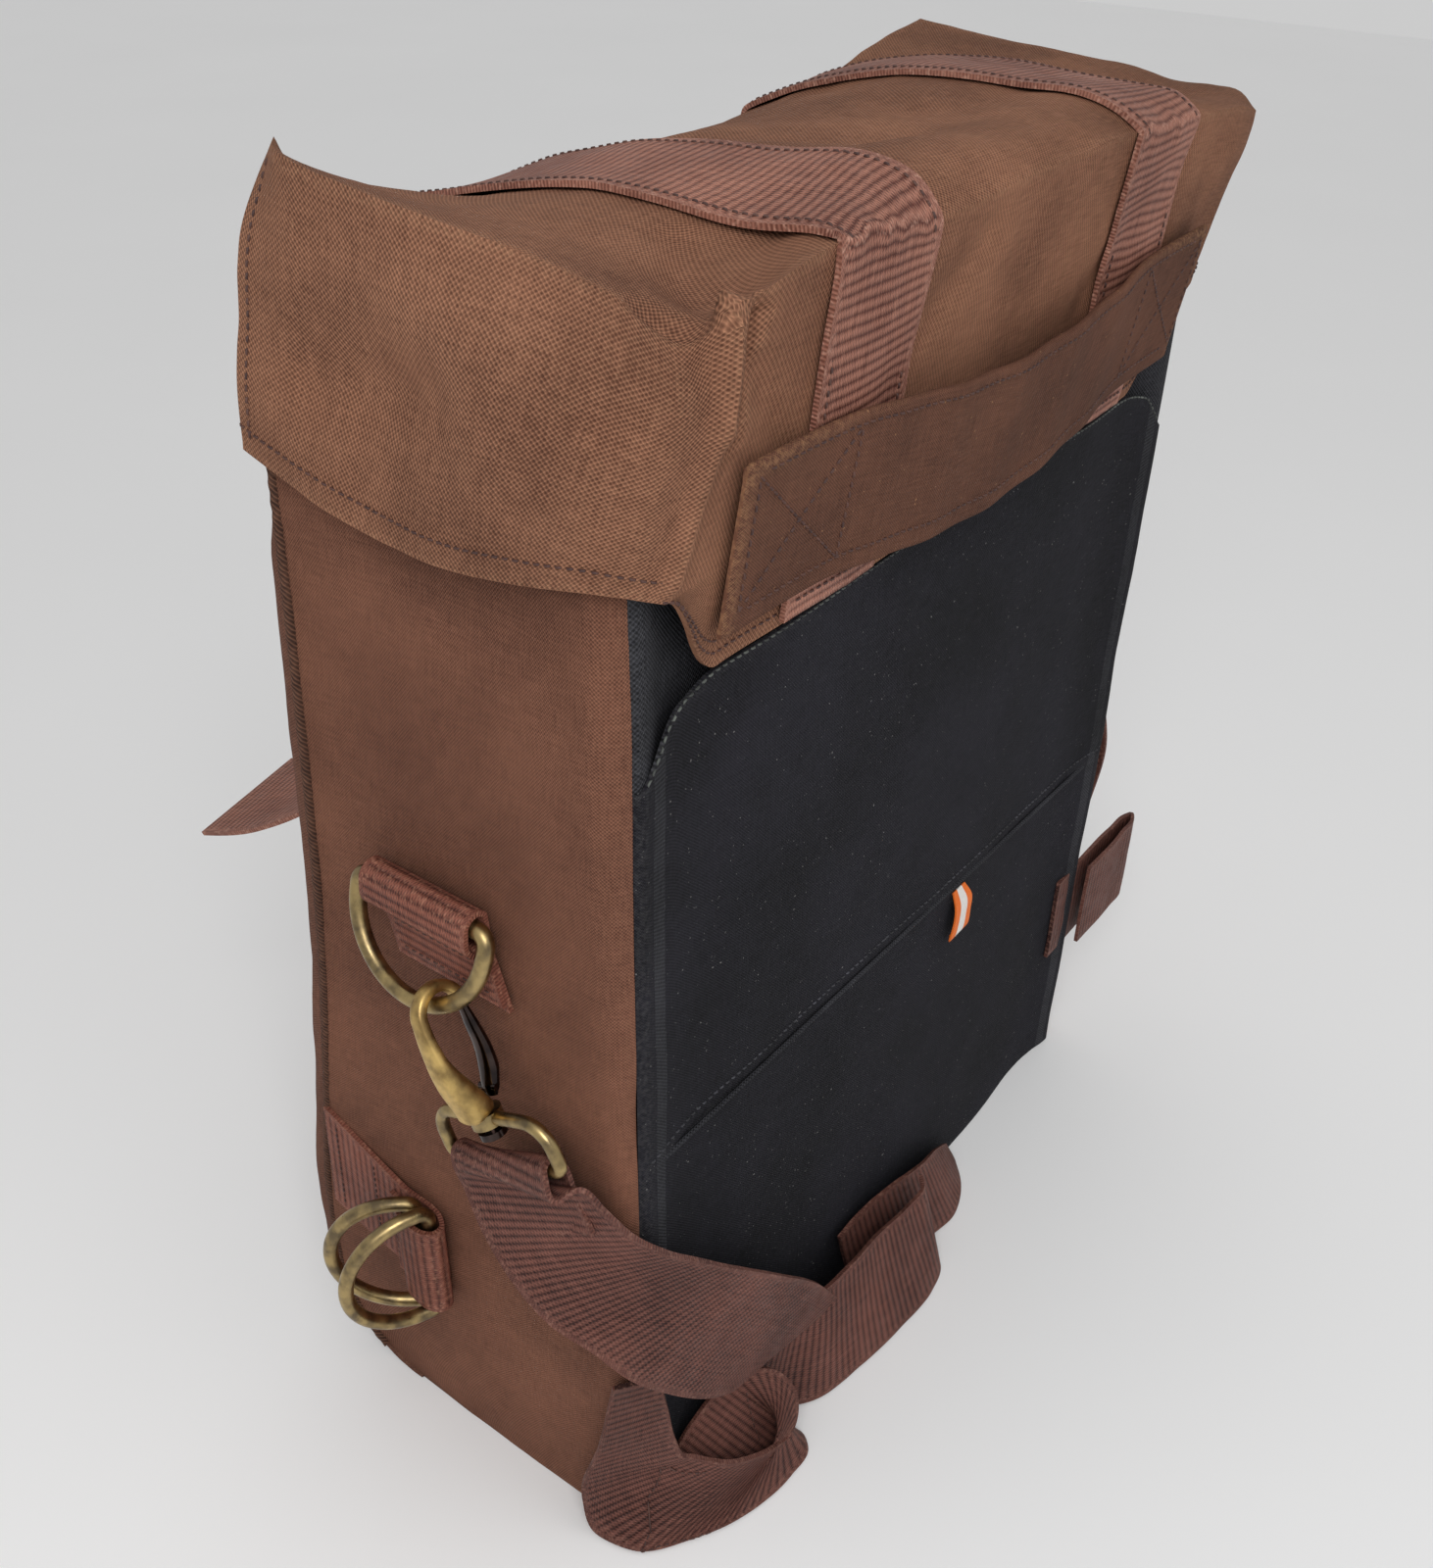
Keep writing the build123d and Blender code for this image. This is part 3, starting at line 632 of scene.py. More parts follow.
def body_side(sign):
    """Side panel: flat canvas that rolls round the rear corner to the black fabric."""
    seam = front_seam(110)
    rear_z = np.linspace(MOUTH_Z, 0.0, len(seam))
    turn_y, turn_x = RACK_Y - 9.0, HALF - REAR_ROUND
    shares = np.linspace(0.0, 1.0, 40)
    angles = np.radians(np.linspace(0.0, 76.0, 8))[1:]
    rows = []
    for (y, z), rear in zip(seam, rear_z):
        flat = [(HALF, y + (turn_y - y) * s, z + (rear - z) * s) for s in shares]
        roll = [(turn_x + REAR_ROUND * math.cos(a), turn_y + REAR_ROUND * math.sin(a), rear) for a in angles]
        rows.append(flat + roll)
    grid = np.array(rows)
    y, z = grid[..., 1], grid[..., 2]
    hollow = smooth(y, -60, 10) * (1 - smooth(y, 30, 74)) * smooth(z, 10, 120)
    grid[..., 0] -= 1.6 * hollow
    grid[..., 2] = np.maximum(grid[..., 2], 0.4)
    piece = cloth(sided("body_side", sign), [flip(grid, sign)], BODY, 3.0,
                  waves=[(1.1, 75.0, 3 + sign), (0.25, 18.0, 9)])
    fit(piece, "bag", "body_canvas", sided("side_panel", sign))


def body_front():
    """Front panel with rounded corners that wrap back to the side seams."""
    seam = front_seam(110)
    half_section = [(HALF - 0.6, 0.2), (HALF, 4.5), (HALF - 1.6, 9.0), (HALF - 6.0, FRONT_DEPTH),
                    (HALF - 16.0, FRONT_DEPTH + 1.0), (110.0, FRONT_DEPTH + 2.0), (0.0, FRONT_DEPTH + 3.0)]
    section = curve(both_halves(half_section), 150)
    tangent = directions(seam)
    out = np.stack([tangent[:, 1], -tangent[:, 0]], axis=1)
    fade = smooth(seam[:, 1], 1.0, 52.0) * (1 - 0.85 * smooth(seam[:, 1], 395.0, 434.0))
    rows = [[(x, y + out_y * d * scale, max(z + out_z * d * scale, 0.5)) for x, d in section]
            for (y, z), (out_y, out_z), scale in zip(seam, out, fade)]
    # FRONT is the darker copy of the body canvas: painted shade on the front.
    piece = cloth("body_front", [rows], FRONT, 3.0, waves=[(1.6, 90.0, 21), (0.3, 20.0, 22)])
    fit(piece, "bag", "body_canvas", "front_panel")


def body_base():
    rows = [[(x, y, 0.6) for x in np.linspace(-HALF + 1, HALF - 1, 60)]
            for y in np.linspace(-38.0, RACK_Y - 4.0, 26)]
    piece = cloth("body_base", [rows], BODY, 3.0, waves=[(0.2, 40.0, 5)])
    fit(piece, "bag", "body_canvas", "bottom_panel")


def front_welt(sign):
    """Corded welt along the front seam, with its two-ply twist as real lobes."""
    name = sided("front_piping", sign)
    seam = front_seam(300)[:-14]
    tangent = directions(seam)
    rings = []
    for k, ((y, z), (ty, tz)) in enumerate(zip(seam, tangent)):
        ring = []
        for turn in turns(14):
            size = 1.9 + 0.16 * math.cos(2 * (turn - k * 0.85))
            side, out = size * math.cos(turn), size * math.sin(turn)
            ring.append((sign * (HALF - 0.3 + side), y + tz * out * 0.95 - 0.6, max(z - ty * out, 0.4)))
        rings.append(ring)
    piece = loft(name + "_cord", rings, PIPING)
    fit(piece, "bag", "piping", name)


# --- rack side ---
def rack_columns(edge_y, shoulder_y, flat_y, count):
    """Half section of the rack side, from the side seam to the middle, mirrored."""
    half_section = [(HALF - 7.6, edge_y), (HALF - 10.0, (edge_y + shoulder_y) / 2 + 1.2),
                    (HALF - 15.0, shoulder_y), (HALF - 23.0, (shoulder_y + flat_y) / 2),
                    (HALF - 34.0, flat_y), (HALF - 80.0, flat_y), (0.0, flat_y)]
    return curve(both_halves(half_section), count)


def pocket_edge(x):
    """Height of the pocket's top edge, which droops at its corners."""
    return POCKET_TOP + 2.0 - 4.0 * smooth(np.abs(x), 140, 165) - 19.0 * smooth(np.abs(x), 160, 183)


def pocket_seam(x):
    return SEAM_Z + 6.0 + x * 0.037


def back_wall():
    """Wall behind the rack pocket. It fills out above the pocket, at the rear corners."""
    shown = rack_columns(RACK_Y + 0.4, RACK_Y + 1.2, WALL_Y + 1.0, 130)
    covered = rack_columns(WALL_Y + 3.0, WALL_Y + 2.0, WALL_Y + 0.4, 130)
    rows = []
    for z in np.linspace(MOUTH_Z - 3.0, 1.0, 100):
        share = smooth(z, 335.0, 366.0)
        rows.append([(x, y * share + hidden * (1 - share), z)
                     for (x, y), (_, hidden) in zip(shown, covered)])
    # The wall takes the lighter black, which paints its highlights above the pocket.
    piece = cloth("back_wall", [rows], BLACK_LIT, 1.6, waves=[(0.4, 50.0, 31)])
    fit(piece, "bag", "black_fabric", "back_panel", "pocket_rim")


def pocket_panel(name, low_edge, high_edge, lift, seed):
    columns = rack_columns(RACK_Y + 0.8, RACK_Y + 3.2, RACK_Y + lift, 170)
    x = columns[:, 0]
    low_z, high_z = low_edge(x), high_edge(x)
    rows = []
    for share in np.linspace(0.0, 1.0, 90):
        z = low_z + (high_z - low_z) * share
        rows.append(np.stack([x, columns[:, 1], z], axis=1))
    piece = cloth(name, [rows], BLACK, 1.3, waves=[(1.1, 85.0, seed), (0.22, 22.0, seed + 1)])
    # A band near each corner takes the lighter black: a painted highlight where the pocket turns to its
    # sides.
    piece.data.materials.append(BLACK_LIT)
    for polygon in piece.data.polygons:
        polygon.material_index = int(HALF - 22 < abs(polygon.center[0]) / MM < HALF - 15)
    return piece


def rack_pocket():
    """Outer layer of the slip-over pocket: two panels with a folded seam between them."""
    upper = pocket_panel("rack_pocket_upper", pocket_seam, pocket_edge, 0.8, 41)
    lower = pocket_panel("rack_pocket_lower", lambda x: np.full_like(x, 0.8),
                         lambda x: pocket_seam(x) + 3, 0.0, 41)
    fit(upper, "bag", "black_fabric", "pocket_panel_upper")
    fit(lower, "bag", "black_fabric", "pocket_panel_lower")
    x = np.linspace(-HALF + 16, HALF - 12, 40)
    rows = [np.stack([x, np.full_like(x, RACK_Y + 3), pocket_seam(x) + 7], axis=1)]
    stitch_rows("pocket_seam_stitches", upper, rows, "bag", BLACK_THREAD)
    rows = [np.stack([x, np.full_like(x, RACK_Y + 3), pocket_edge(x) - 1.6], axis=1)]
    stitch_rows("pocket_edge_stitches", upper, rows, "bag", PALE_THREAD)
    seam_roll(x)


def seam_roll(x):
    """Fold of the seam, standing a little proud of both panels."""
    rings = []
    for place in x:
        centre = np.array([place, RACK_Y + 1.2, pocket_seam(place) + 0.2])
        rings.append([centre + np.array([0.0, 0.9 * math.cos(a), 1.3 * math.sin(a)])
                      for a in turns(8)])
    # The fold takes the same lighter black, a painted highlight on its raised ridge.
    fit(loft("pocket_seam_fold", rings, BLACK_LIT), "bag", "black_fabric")


def seam_tag():
    """Little folded ribbon caught in the pocket's seam."""
    x_low, x_high = low("seam_tag")[0], high("seam_tag")[0]
    top, bottom = high("seam_tag")[2] + 4, low("seam_tag")[2]
    path = [(RACK_Y + 1.0, top), (RACK_Y + 4.2, top - 6), (RACK_Y + 4.6, (top + bottom) / 2),
            (RACK_Y + 2.6, bottom + 1.5), (RACK_Y + 1.4, bottom + 3)]
    insets = (4, 2, 2, 2, 4)
    left = [(x_low + inset, y, z) for inset, (y, z) in zip(insets, path)]
    right = [(x_high - inset, y, z) for inset, (y, z) in zip(insets, path)]
    piece = cloth("ribbon_tag", [band(left, right, 24, 9)], TAG, 0.8)
    fit(piece, "bag", "tag", "seam_tag")


# --- mouth and inside ---
def mouth_line(out, z, count):
    """Closed line round the mouth, out millimetres outside the middle of its walls."""
    corners = [(60, -42.7), (12, -42.4), (4.0, -41.6), (1.8, -38.5), (2.0, 10.0), (1.6, 70.0), (4.0, 80.0),
               (9.0, 84.6), (16.0, 85.2), (25.0, 81.6), (38.0, 78.0)]
    half = [(0.0, -42.8)] + [(HALF - inset, y) for inset, y in corners] + [(0.0, 77.8)]
    line = curve(half + [(-x, y) for x, y in reversed(half[1:-1])] + half[:1], count)
    tangent = directions(line)
    line = line + out * np.stack([tangent[:, 1], -tangent[:, 0]], axis=1)
    line[-1] = line[0]
    return np.column_stack([line, np.full(count, z)])


def mouth_binding():
    """Tape folded over the cut edge of the mouth."""
    profile = [(2.1, -13), (2.2, -3), (1.4, 0.8), (-1.0, 0.8), (-3.0, -3), (-3.2, -13)]
    lines = [mouth_line(out, MOUTH_Z + rise, 320) for out, rise in curve(profile, 14)]
    piece = cloth("mouth_tape", [lines], TAB, 0.9)
    fit(piece, "bag", "body_canvas", "rim_binding")
    row = mouth_line(4.0, MOUTH_Z - 10, 60)
    stitch_rows("mouth_stitches", piece, [row], "bag", BROWN_THREAD)


def lining():
    """Loose lining that hangs in the bag as one tub."""
    box_low, box_high = low("inner_liner"), high("inner_liner")
    top = MOUTH_Z - 9
    lines = []
    for share in np.linspace(0.0, 1.0, 50):
        z = box_low[2] + 1 + (top - box_low[2]) * share
        lean = 34.0 * smooth(z, 420.0, 90.0)
        line = mouth_line(-5.0, z, 200)
        line[:, 1] -= lean * np.clip((50 - line[:, 1]) / 90.0, 0, 1) * smooth(z, 0, 60)
        lines.append(line)
    rings = [lines[0] * np.array([share, share, 1.0]) for share in np.linspace(0.04, 1.0, 20)]
    piece = cloth("lining_tub", [lines, rings], LINING, 0.9, waves=[(1.4, 60.0, 61)])
    fit(piece, "bag", "lining", "inner_liner")


# --- lid ---
def near_wing():
    """Side flap of the lid on the seen side: columns from front to back, each hem to top."""
    return [
        [(196, -48, 438), (195, -48, 455), (191, -48, 474), (185, -45, 504), (176, -40, 522)],
        [(198, -24, 433), (196, -25, 450), (192, -26, 472), (190, -27, 500), (186, -28, 522)],
        [(199, 5, 428), (195, 5, 447), (192, 4, 470), (191, 3, 498), (189, 3, 518)],
        [(200, 33, 427), (199, 33, 447), (198, 33, 470), (195, 33, 495), (187, 33, 514)],
        [(199, 62, 430), (200, 62, 448), (199, 62, 470), (194, 62, 492), (181, 61, 508)],
        [(195, 82, 432), (196, 83, 450), (194, 84, 470), (188, 84, 490), (178, 82, 503)],
        [(187, 92, 430), (185, 95, 448), (182, 97, 468), (176, 98, 484), (170, 96, 494)],
        [(178, 94, 426), (172, 97, 445), (165, 99, 465), (161, 100, 482), (158, 99, 497)],
    ]


def far_wing():
    """The other flap, which stands out more at its top rear corner."""
    return [
        [(-196, -48, 438), (-195, -48, 455), (-192, -48, 474), (-192, -50, 496), (-194, -56, 511)],
        [(-197, -24, 433), (-195, -25, 450), (-194, -26, 472), (-195, -27, 492), (-196, -28, 507)],
        [(-198, 5, 428), (-197, 5, 447), (-196, 5, 468), (-197, 8, 490), (-198, 15, 504)],
        [(-199, 33, 427), (-198, 33, 447), (-197, 34, 468), (-197, 38, 488), (-198, 44, 502)],
        [(-198, 62, 430), (-197, 62, 448), (-196, 62, 468), (-196, 63, 485), (-197, 66, 499)],
        [(-193, 80, 432), (-192, 80, 450), (-192, 80, 468), (-193, 80, 485), (-195, 80, 500)],
        [(-180, 91, 430), (-184, 91, 450), (-188, 91, 468), (-192, 90, 486), (-195, 90, 499)],
        [(-165, 94, 426), (-174, 96, 447), (-183, 97, 466), (-191, 98, 480), (-198, 97, 492)],
    ]


def lid_top_rows(near, far):
    """Top of the lid: it sinks between the flaps and rises towards the back."""
    front_to_back = {
        150: [496, 505, 506, 507, 503, 498, 497, 502],
        117: [491, 495, 503, 507, 505, 503, 507, 507],
        67: [488, 497, 507, 511, 512, 514, 511, 503],
        0: [486, 495, 505, 510, 511, 514, 512, 505],
        -67: [491, 500, 510, 513, 512, 513, 509, 505],
        -117: [496, 503, 509, 511, 509, 508, 507, 502],
        -160: [505, 505, 503, 502, 500, 500, 501, 500],
    }
    depths = [-57, -36, -2, 30, 58, 80, 95, 103]
    rows = [[column[-1] for column in near]]
    for x, heights in front_to_back.items():
        rows.append([(x, y, z) for y, z in zip(depths, heights)])
    rows.append([column[-1] for column in far])
    return rows


def lid_wall(start, end, top_row, x_low, x_high, y_of):
    """Front or back of the lid between two flap columns, up to the top's own edge."""
    rows = []
    for k, (near, far) in enumerate(zip(start, end)):
        row = [near]
        for top in top_row[1:-1]:
            share = (x_high - top[0]) / (x_high - x_low)
            z_low = near[2] + (far[2] - near[2]) * share
            x = near[0] + (far[0] - near[0]) * share
            if k == 4:
                row.append(top)
            else:
                lift = k / 4
                row.append((x, y_of(lift), z_low + lift * (top[2] - start[4][2]) * lift))
        row.append(far)
        rows.append(row)
    return rows


def lid_grids():
    near, far = near_wing(), far_wing()
    top = lid_top_rows(near, far)
    wide, deep, tall = 170, 66, 42
    front_row = [row[0] for row in top]
    back_row = [row[-1] for row in top]
    front = lid_wall(near[0], far[0], front_row, -196, 196, lambda lift: -60.0 + 2.0 * lift)
    back = lid_wall(near[-1], far[-1], back_row, -165, 178, lambda lift: 93.0 + 9.0 * lift)
    back_grid = patch(back, tall, wide)
    skirt_top = back_grid[0]
    hem = skirt_top.copy()
    reach = smooth(np.abs(hem[:, 0] - 6.0), 172.0, 140.0)
    hem[:, 2] -= (35.0 + (skirt_top[:, 2] - 426.0)) * reach
    hem[:, 1] -= 4.5 * reach
    shares = np.linspace(0.0, 1.0, 18)[:, None, None]
    skirt = hem[None] * (1 - shares) + skirt_top[None] * shares
    return (patch(near, deep, tall), patch(far, deep, tall), patch(top, wide, deep),
            patch(front, tall, wide), back_grid, skirt)


LID_FOLDS = [
    ((157, 99, 499), (163, 99, 470), 3.4, -5.5),       # pinched rear corner of the near flap
    ((163, 99, 470), (176, 95, 432), 3.6, -3.0),
    ((150, 102, 496), (156, 100, 466), 3.6, 5.0),      # crease beside the pinch
    ((174, 88, 503), (168, 96, 488), 6.0, 4.0),        # notch in the flap's upper edge
    ((146, 101, 480), (120, 98, 440), 5.0, 2.0),
    ((193, -16, 464), (196, 30, 470), 12.0, 4.5),      # hollow across the near flap
    ((194, 60, 452), (188, 84, 474), 9.0, 2.2),
    ((128, 60, 506), (152, 84, 498), 7.0, 3.0),        # hollow in front of the pinch
    ((60, -20, 505), (20, 60, 511), 12.0, 2.0),
    ((-20, 40, 511), (-60, -20, 505), 10.0, 1.6),
    ((-194, -14, 470), (-196, 40, 480), 11.0, 3.0),
    ((-120, 99, 490), (-60, 98, 450), 8.0, 2.0),
    ((30, 101, 490), (80, 97, 455), 8.0, 1.8),
]


def lid():
    """Cap lid in one skin: two flaps, top, front, back and the back's sewn skirt."""
    grids = lid_grids()
    # LID is the lighter copy of the body canvas: painted light on the lid.
    piece = cloth("lid_canvas", grids, LID, 2.0, waves=[(1.4, 60.0, 71), (0.45, 17.0, 72)], dents=LID_FOLDS,
                  inside=(0, 20, 455), reach=2.0)
    fit(piece, "lid", "lid_canvas", "lid_top", "lid_front", "lid_back", "lid_side_right", "lid_side_left")
    near_grid, far_grid, _, front_grid, back_grid, skirt = grids
    hem_rows = [near_grid[:, 3], far_grid[:, 3], front_grid[3, ::3], skirt[2, ::3], skirt[4, ::3]]
    ridge_rows = [near_grid[2, 2:-2], far_grid[2, 2:-2]]
    stitch_rows("lid_hem_stitches", piece, hem_rows, "lid", BROWN_THREAD)
    stitch_rows("lid_seam_stitches", piece, ridge_rows, "lid", BROWN_THREAD)
    return piece


def on_lid(tree, x, guide, count):
    """A strip's grid laid on the lid at x, along a (y, z) guide that stands just off it."""
    line = curve(guide, count)
    grid = np.array([[(x + a, y, z) for a in ACROSS] for y, z in line])
    placed, _ = seat(tree, grid, 1.5, push=0.0)
    placed[..., 0] = grid[..., 0]
    for _ in range(12):
        placed[1:-1] = (placed[:-2] + 2 * placed[1:-1] + placed[2:]) / 4
    return placed


def lid_strap(sign, lid_piece):
    """Webbing sewn over the lid from its back hem. Its tail hangs free in front."""
    name = sided("lid_strap", sign)
    guide = [(98, 393), (104, 425), (110, 465), (116, 492), (112, 515), (98, 524), (60, 524), (0, 518),
             (-40, 508), (-62, 502), (-70, 490), (-70, 465), (-68, 441)]
    laid = on_lid(surface_of(lid_piece), sign * STRAP_X, guide, 150)
    tail_points = [(-68, 425), (-69, 390), (-73, 340), (-80, 298), (-98, 270), (-130, 248), (-163, 234)]
    line = curve([tuple(laid[-1, 6, 1:])] + tail_points, 90)[1:]
    sway = smooth(np.arange(89.0), 20, 88)
    tail = np.array([[(sign * (STRAP_X + 46.0 * s) + a, y, z - sign * a * 0.22 * s) for a in ACROSS]
                     for (y, z), s in zip(line, sway)])
    grid = np.concatenate([laid, tail])
    piece = strip(name + "_webbing", grid, LID_STRAP, (sign * STRAP_X, 20, 400), offset=0.4)
    fit(piece, "lid", "webbing", name)
    declare(piece, grid, "hung", "lid_canvas")
    edges = [laid[4:-4:3, k] for k in (1, -2)]
    foot = [laid[k, 1:-1] for k in (2, 4, 6)]
    stitch_rows(name + "_stitches", piece, edges + foot, "lid", BROWN_THREAD)


def handle_frame():
    """Origin and directions on the lid's back: across is X, up runs up the slope."""
    foot = np.array([0.0, 88.0, 391.0])
    up = np.array([0.0, 16.0, 104.0]) / math.hypot(16.0, 104.0)
    out = np.array([0.0, up[2], -up[1]])
    return foot, up, out


HANDLE_NEAR, HANDLE_FAR = 152.0, -155.0


def handle_line(count):
    """Middle line of the handle as (x, height up the lid, distance off the lid)."""
    points = [(HANDLE_NEAR, 40.5, 2.8), (140, 40.5, 3), (118, 40.3, 3.2), (98, 40, 4.2), (70, 38, 8),
              (35, 35, 10.5), (0, 33.5, 11), (-35, 35.5, 10.5), (-70, 38.5, 8), (-98, 40, 4.2),
              (-118, 40.3, 3.2), (-142, 40.5, 3), (HANDLE_FAR, 40.5, 2.8)]
    return curve(points, count)


def handle_place(x, height, lift):
    foot, up, out = handle_frame()
    return foot + up * height + out * lift + np.array([x, 0.0, 0.0])


def handle_wear(place):
    """Rubbing at the handle's ends and along its upper edge."""
    foot, up, _ = handle_frame()
    height = (place - foot) @ up
    x = place[0]
    end = smooth(x, HANDLE_NEAR - 7, HANDLE_NEAR - 1) + smooth(-x, -HANDLE_FAR - 7, -HANDLE_FAR - 1)
    corner = smooth(abs(x), 90, 150) * smooth(height, 52, 66)
    return float(min(1.0, 0.75 * end + 0.7 * corner * smooth(height, 60, 66) + 0.3 * smooth(height, 64, 67)))


def carry_handle():
    """Folded canvas grip, sewn flat at both ends and slack between them."""
    width, thick = 55.0, 3.0
    line = handle_line(150)
    outline = []
    for turn in turns(44):
        outline.append((squared(math.cos(turn), 0.22) * width / 2, squared(math.sin(turn), 0.8) * thick / 2))
    rings = []
    for k, (x, height, lift) in enumerate(line):
        end = min(k, len(line) - 1 - k)
        full = math.sqrt(1 - max(0.0, 1 - end / 2.0) ** 2) * 0.6 + 0.4
        tall = 0.97 + 0.03 * full
        level = lift + 0.5 * math.sin(x * 0.16) * smooth(abs(x), 95, 60)
        rings.append([handle_place(x, height + a * tall, level + b * (full + 0.5 * smooth(abs(a), 22, 27)))
                      for a, b in outline])
    piece = loft("handle_canvas", rings, HANDLE)
    store_wear(piece, [handle_wear(np.array(vert.co) / MM) for vert in piece.data.vertices])
    fit(piece, "lid", "lid_canvas", "carry_handle")
    rows = [[handle_place(x, height + side, lift + 3) for x, height, lift in line[5:-5:6]]
            for side in (-21.0, 22.5)]
    for outer, inner in ((HANDLE_NEAR - 6, 98.0), (HANDLE_FAR + 6, -100.0)):
        rows += handle_box(outer, inner)
    stitch_rows("handle_stitches", piece, rows, "lid", BROWN_THREAD)


def handle_box(outer, inner):
    """Cross and end lines sewn at one end of the handle."""
    a, b = handle_place(outer, 20, 6), handle_place(outer, 62, 6)
    c, d = handle_place(inner, 19, 7), handle_place(inner, 62, 7)
    return [[a, b], [c, d], [a, d], [b, c]]


# --- tabs ---
TAB_SIDES = (1 - WEB / 2, WEB / 2 - 1)


def side_ring_tab(sign):
    """Webbing tab folded over the side ring's bar, with its tail sewn slanting to the side."""
    name = sided("d_ring_tab", sign)
    _, y_mid, z_bar = np.array(joints["side_ring_swing_right"]["pos_m"]) / MM
    slant = 0.32
    path = [(1.2, -34), (1.2, -14), (1.3, 0), (2.2, 4.2), (6.0, 5.6), (9.8, 3.6), (10.8, -1), (10.4, -7),
            (7.6, -9.8), (3.9, -9.4), (3.3, -14), (3.3, -31)]
    edges = [[(HALF + out, y_mid + side, z_bar + rise) for out, rise in path] for side in TAB_SIDES]
    grid = band(*edges, 70)
    grid[..., 1] += slant * np.maximum(z_bar - 8 - grid[..., 2], 0)
    grid = flip(grid, sign)
    piece = strip(name + "_webbing", grid, TAB, (sign * (HALF + 6), y_mid, z_bar))
    fit(piece, "bag", "webbing", name)
    rows = [[(sign * (HALF + 8), y_mid + side + slant * shift, z_bar - drop) for side in (-20, 0, 20)]
            for shift, drop in ((20, 27), (8, 17))]
    stitch_rows(name + "_stitches", piece, rows, "bag", BROWN_THREAD)


def low_ring_tab(sign):
    """Webbing caught in the front seam and gathered to the fold that holds two rings."""
    name = sided("ring_tab", sign)
    z_mid = joints["low_ring_outer_swing_right"]["pos_m"][2] / MM
    seam_end = [(1.2, -71, 45, -74, -12), (1.3, -50, 36, -54, -18)]
    fold = [(1.4, -28, 27, -23), (1.6, -8, 22, -25), (4, -5, 22, -25), (8.6, -5.4, 22, -25),
            (10.8, -9, 22, -25), (10.9, -17, 22, -25), (9, -24, 21, -25), (4.4, -26, 21, -25),
            (3.4, -34, 22, -24)]
    steps = seam_end + [(out, y, upper, y, lower) for out, y, upper, lower in fold]
    grid = band([(HALF + out, y, z_mid + rise) for out, y, rise, _, _ in steps],
                [(HALF + out, y, z_mid + rise) for out, _, _, y, rise in steps], 90)
    grid = flip(grid, sign)
    piece = strip(name + "_webbing", grid, TAB, (sign * (HALF + 6), -12, z_mid))
    fit(piece, "bag", "webbing", name)
    rows = [grid[k, 1:-1] + np.array([sign * 6, 0, 0]) for k in (6, 24)]
    stitch_rows(name + "_stitches", piece, rows, "bag", BROWN_THREAD)


def closure_tab(sign):
    """Webbing tab on the front under each lid strap, folded over two ring bars."""
    name = sided("closure_tab", sign)
    joint = np.array(joints["closure_ring_inner_swing_right"]["pos_m"]) / MM
    far = np.array(joints["closure_ring_outer_swing_right"]["pos_m"]) / MM
    out = (far - joint) / np.linalg.norm(far - joint)
    up = np.array([0.0, out[2], -out[1]])
    steps = [(-5.6, -62), (-5.2, -30), (-5, 0), (-3.2, 4.4), (3.3, 5.4), (9, 4.6), (10.9, 0.5),
             (10.9, -10), (9, -16), (0, -18), (-2.2, -26), (-2.4, -50)]
    edges = [[joint + out * a + up * b + np.array([side, 0, 0]) for a, b in steps] for side in TAB_SIDES]
    grid = flip(band(*edges, 90), sign)
    piece = strip(name + "_webbing", grid, TAB, joint * np.array([sign, 1, 1]))
    fit(piece, "bag", "webbing", name)


# --- hooks ---
def hook_place(sign):
    """Function from the hook's own frame (x out, y along the loop's bar, z up its shank)."""
    joint = joints["hook_swivel_right"]
    origin, axis = np.array(joint["pos_m"]) / MM, np.array(joint["axis"])
    up = axis / np.linalg.norm(axis)
    along = np.array([0.0, up[2], -up[1]])

    def at(x, y, z):
        return flip(origin + np.array([1.0, 0.0, 0.0]) * x + along * y + up * z, sign)
    return at


def hook_rings(sign, path, outline):
    """Rings along an (x, z) path; outline(k) gives the (out, side) points of ring k."""
    at = hook_place(sign)
    return [[at(x + tz * out, side, z - tx * out) for out, side in outline(k)]
            for k, ((x, z), (tx, tz)) in enumerate(zip(path, directions(path)))]


def hook_body(sign):
    """Cast hook: a broad tapered outer limb that curls over the ring to the gate's tip."""
    limb = [(2.6, 21.5), (3.4, 25.0), (5.4, 31.0), (7.6, 38.0), (9.0, 46.0), (9.2, 54.0)]
    curl = [(8.75 * math.cos(a), 60 + 8.75 * math.sin(a)) for a in np.radians(np.arange(0, 181, 15))]
    path = curve(limb + curl + [(-8.9, 58.0)], 100)
    run = np.linspace(0.0, 1.0, len(path))
    wide = np.interp(run, [0.0, 0.02, 0.2, 0.42, 0.55, 0.8, 1.0], [5.6, 6.2, 5.8, 4.2, 3.2, 2.7, 2.5])
    deep = np.interp(run, [0.0, 0.02, 0.2, 0.38, 0.5, 1.0], [5.4, 5.8, 4.4, 2.5, 2.2, 2.1])

    def outline(k):
        return [(squared(math.sin(a), 0.75) * deep[k], squared(math.cos(a), 0.6) * wide[k])
                for a in turns(24)]
    name = sided("hook_body", sign)
    piece = loft(name + "_cast", hook_rings(sign, path, outline), BRUSHED)
    fit(piece, sided("snap", sign), "antique_brass", name)


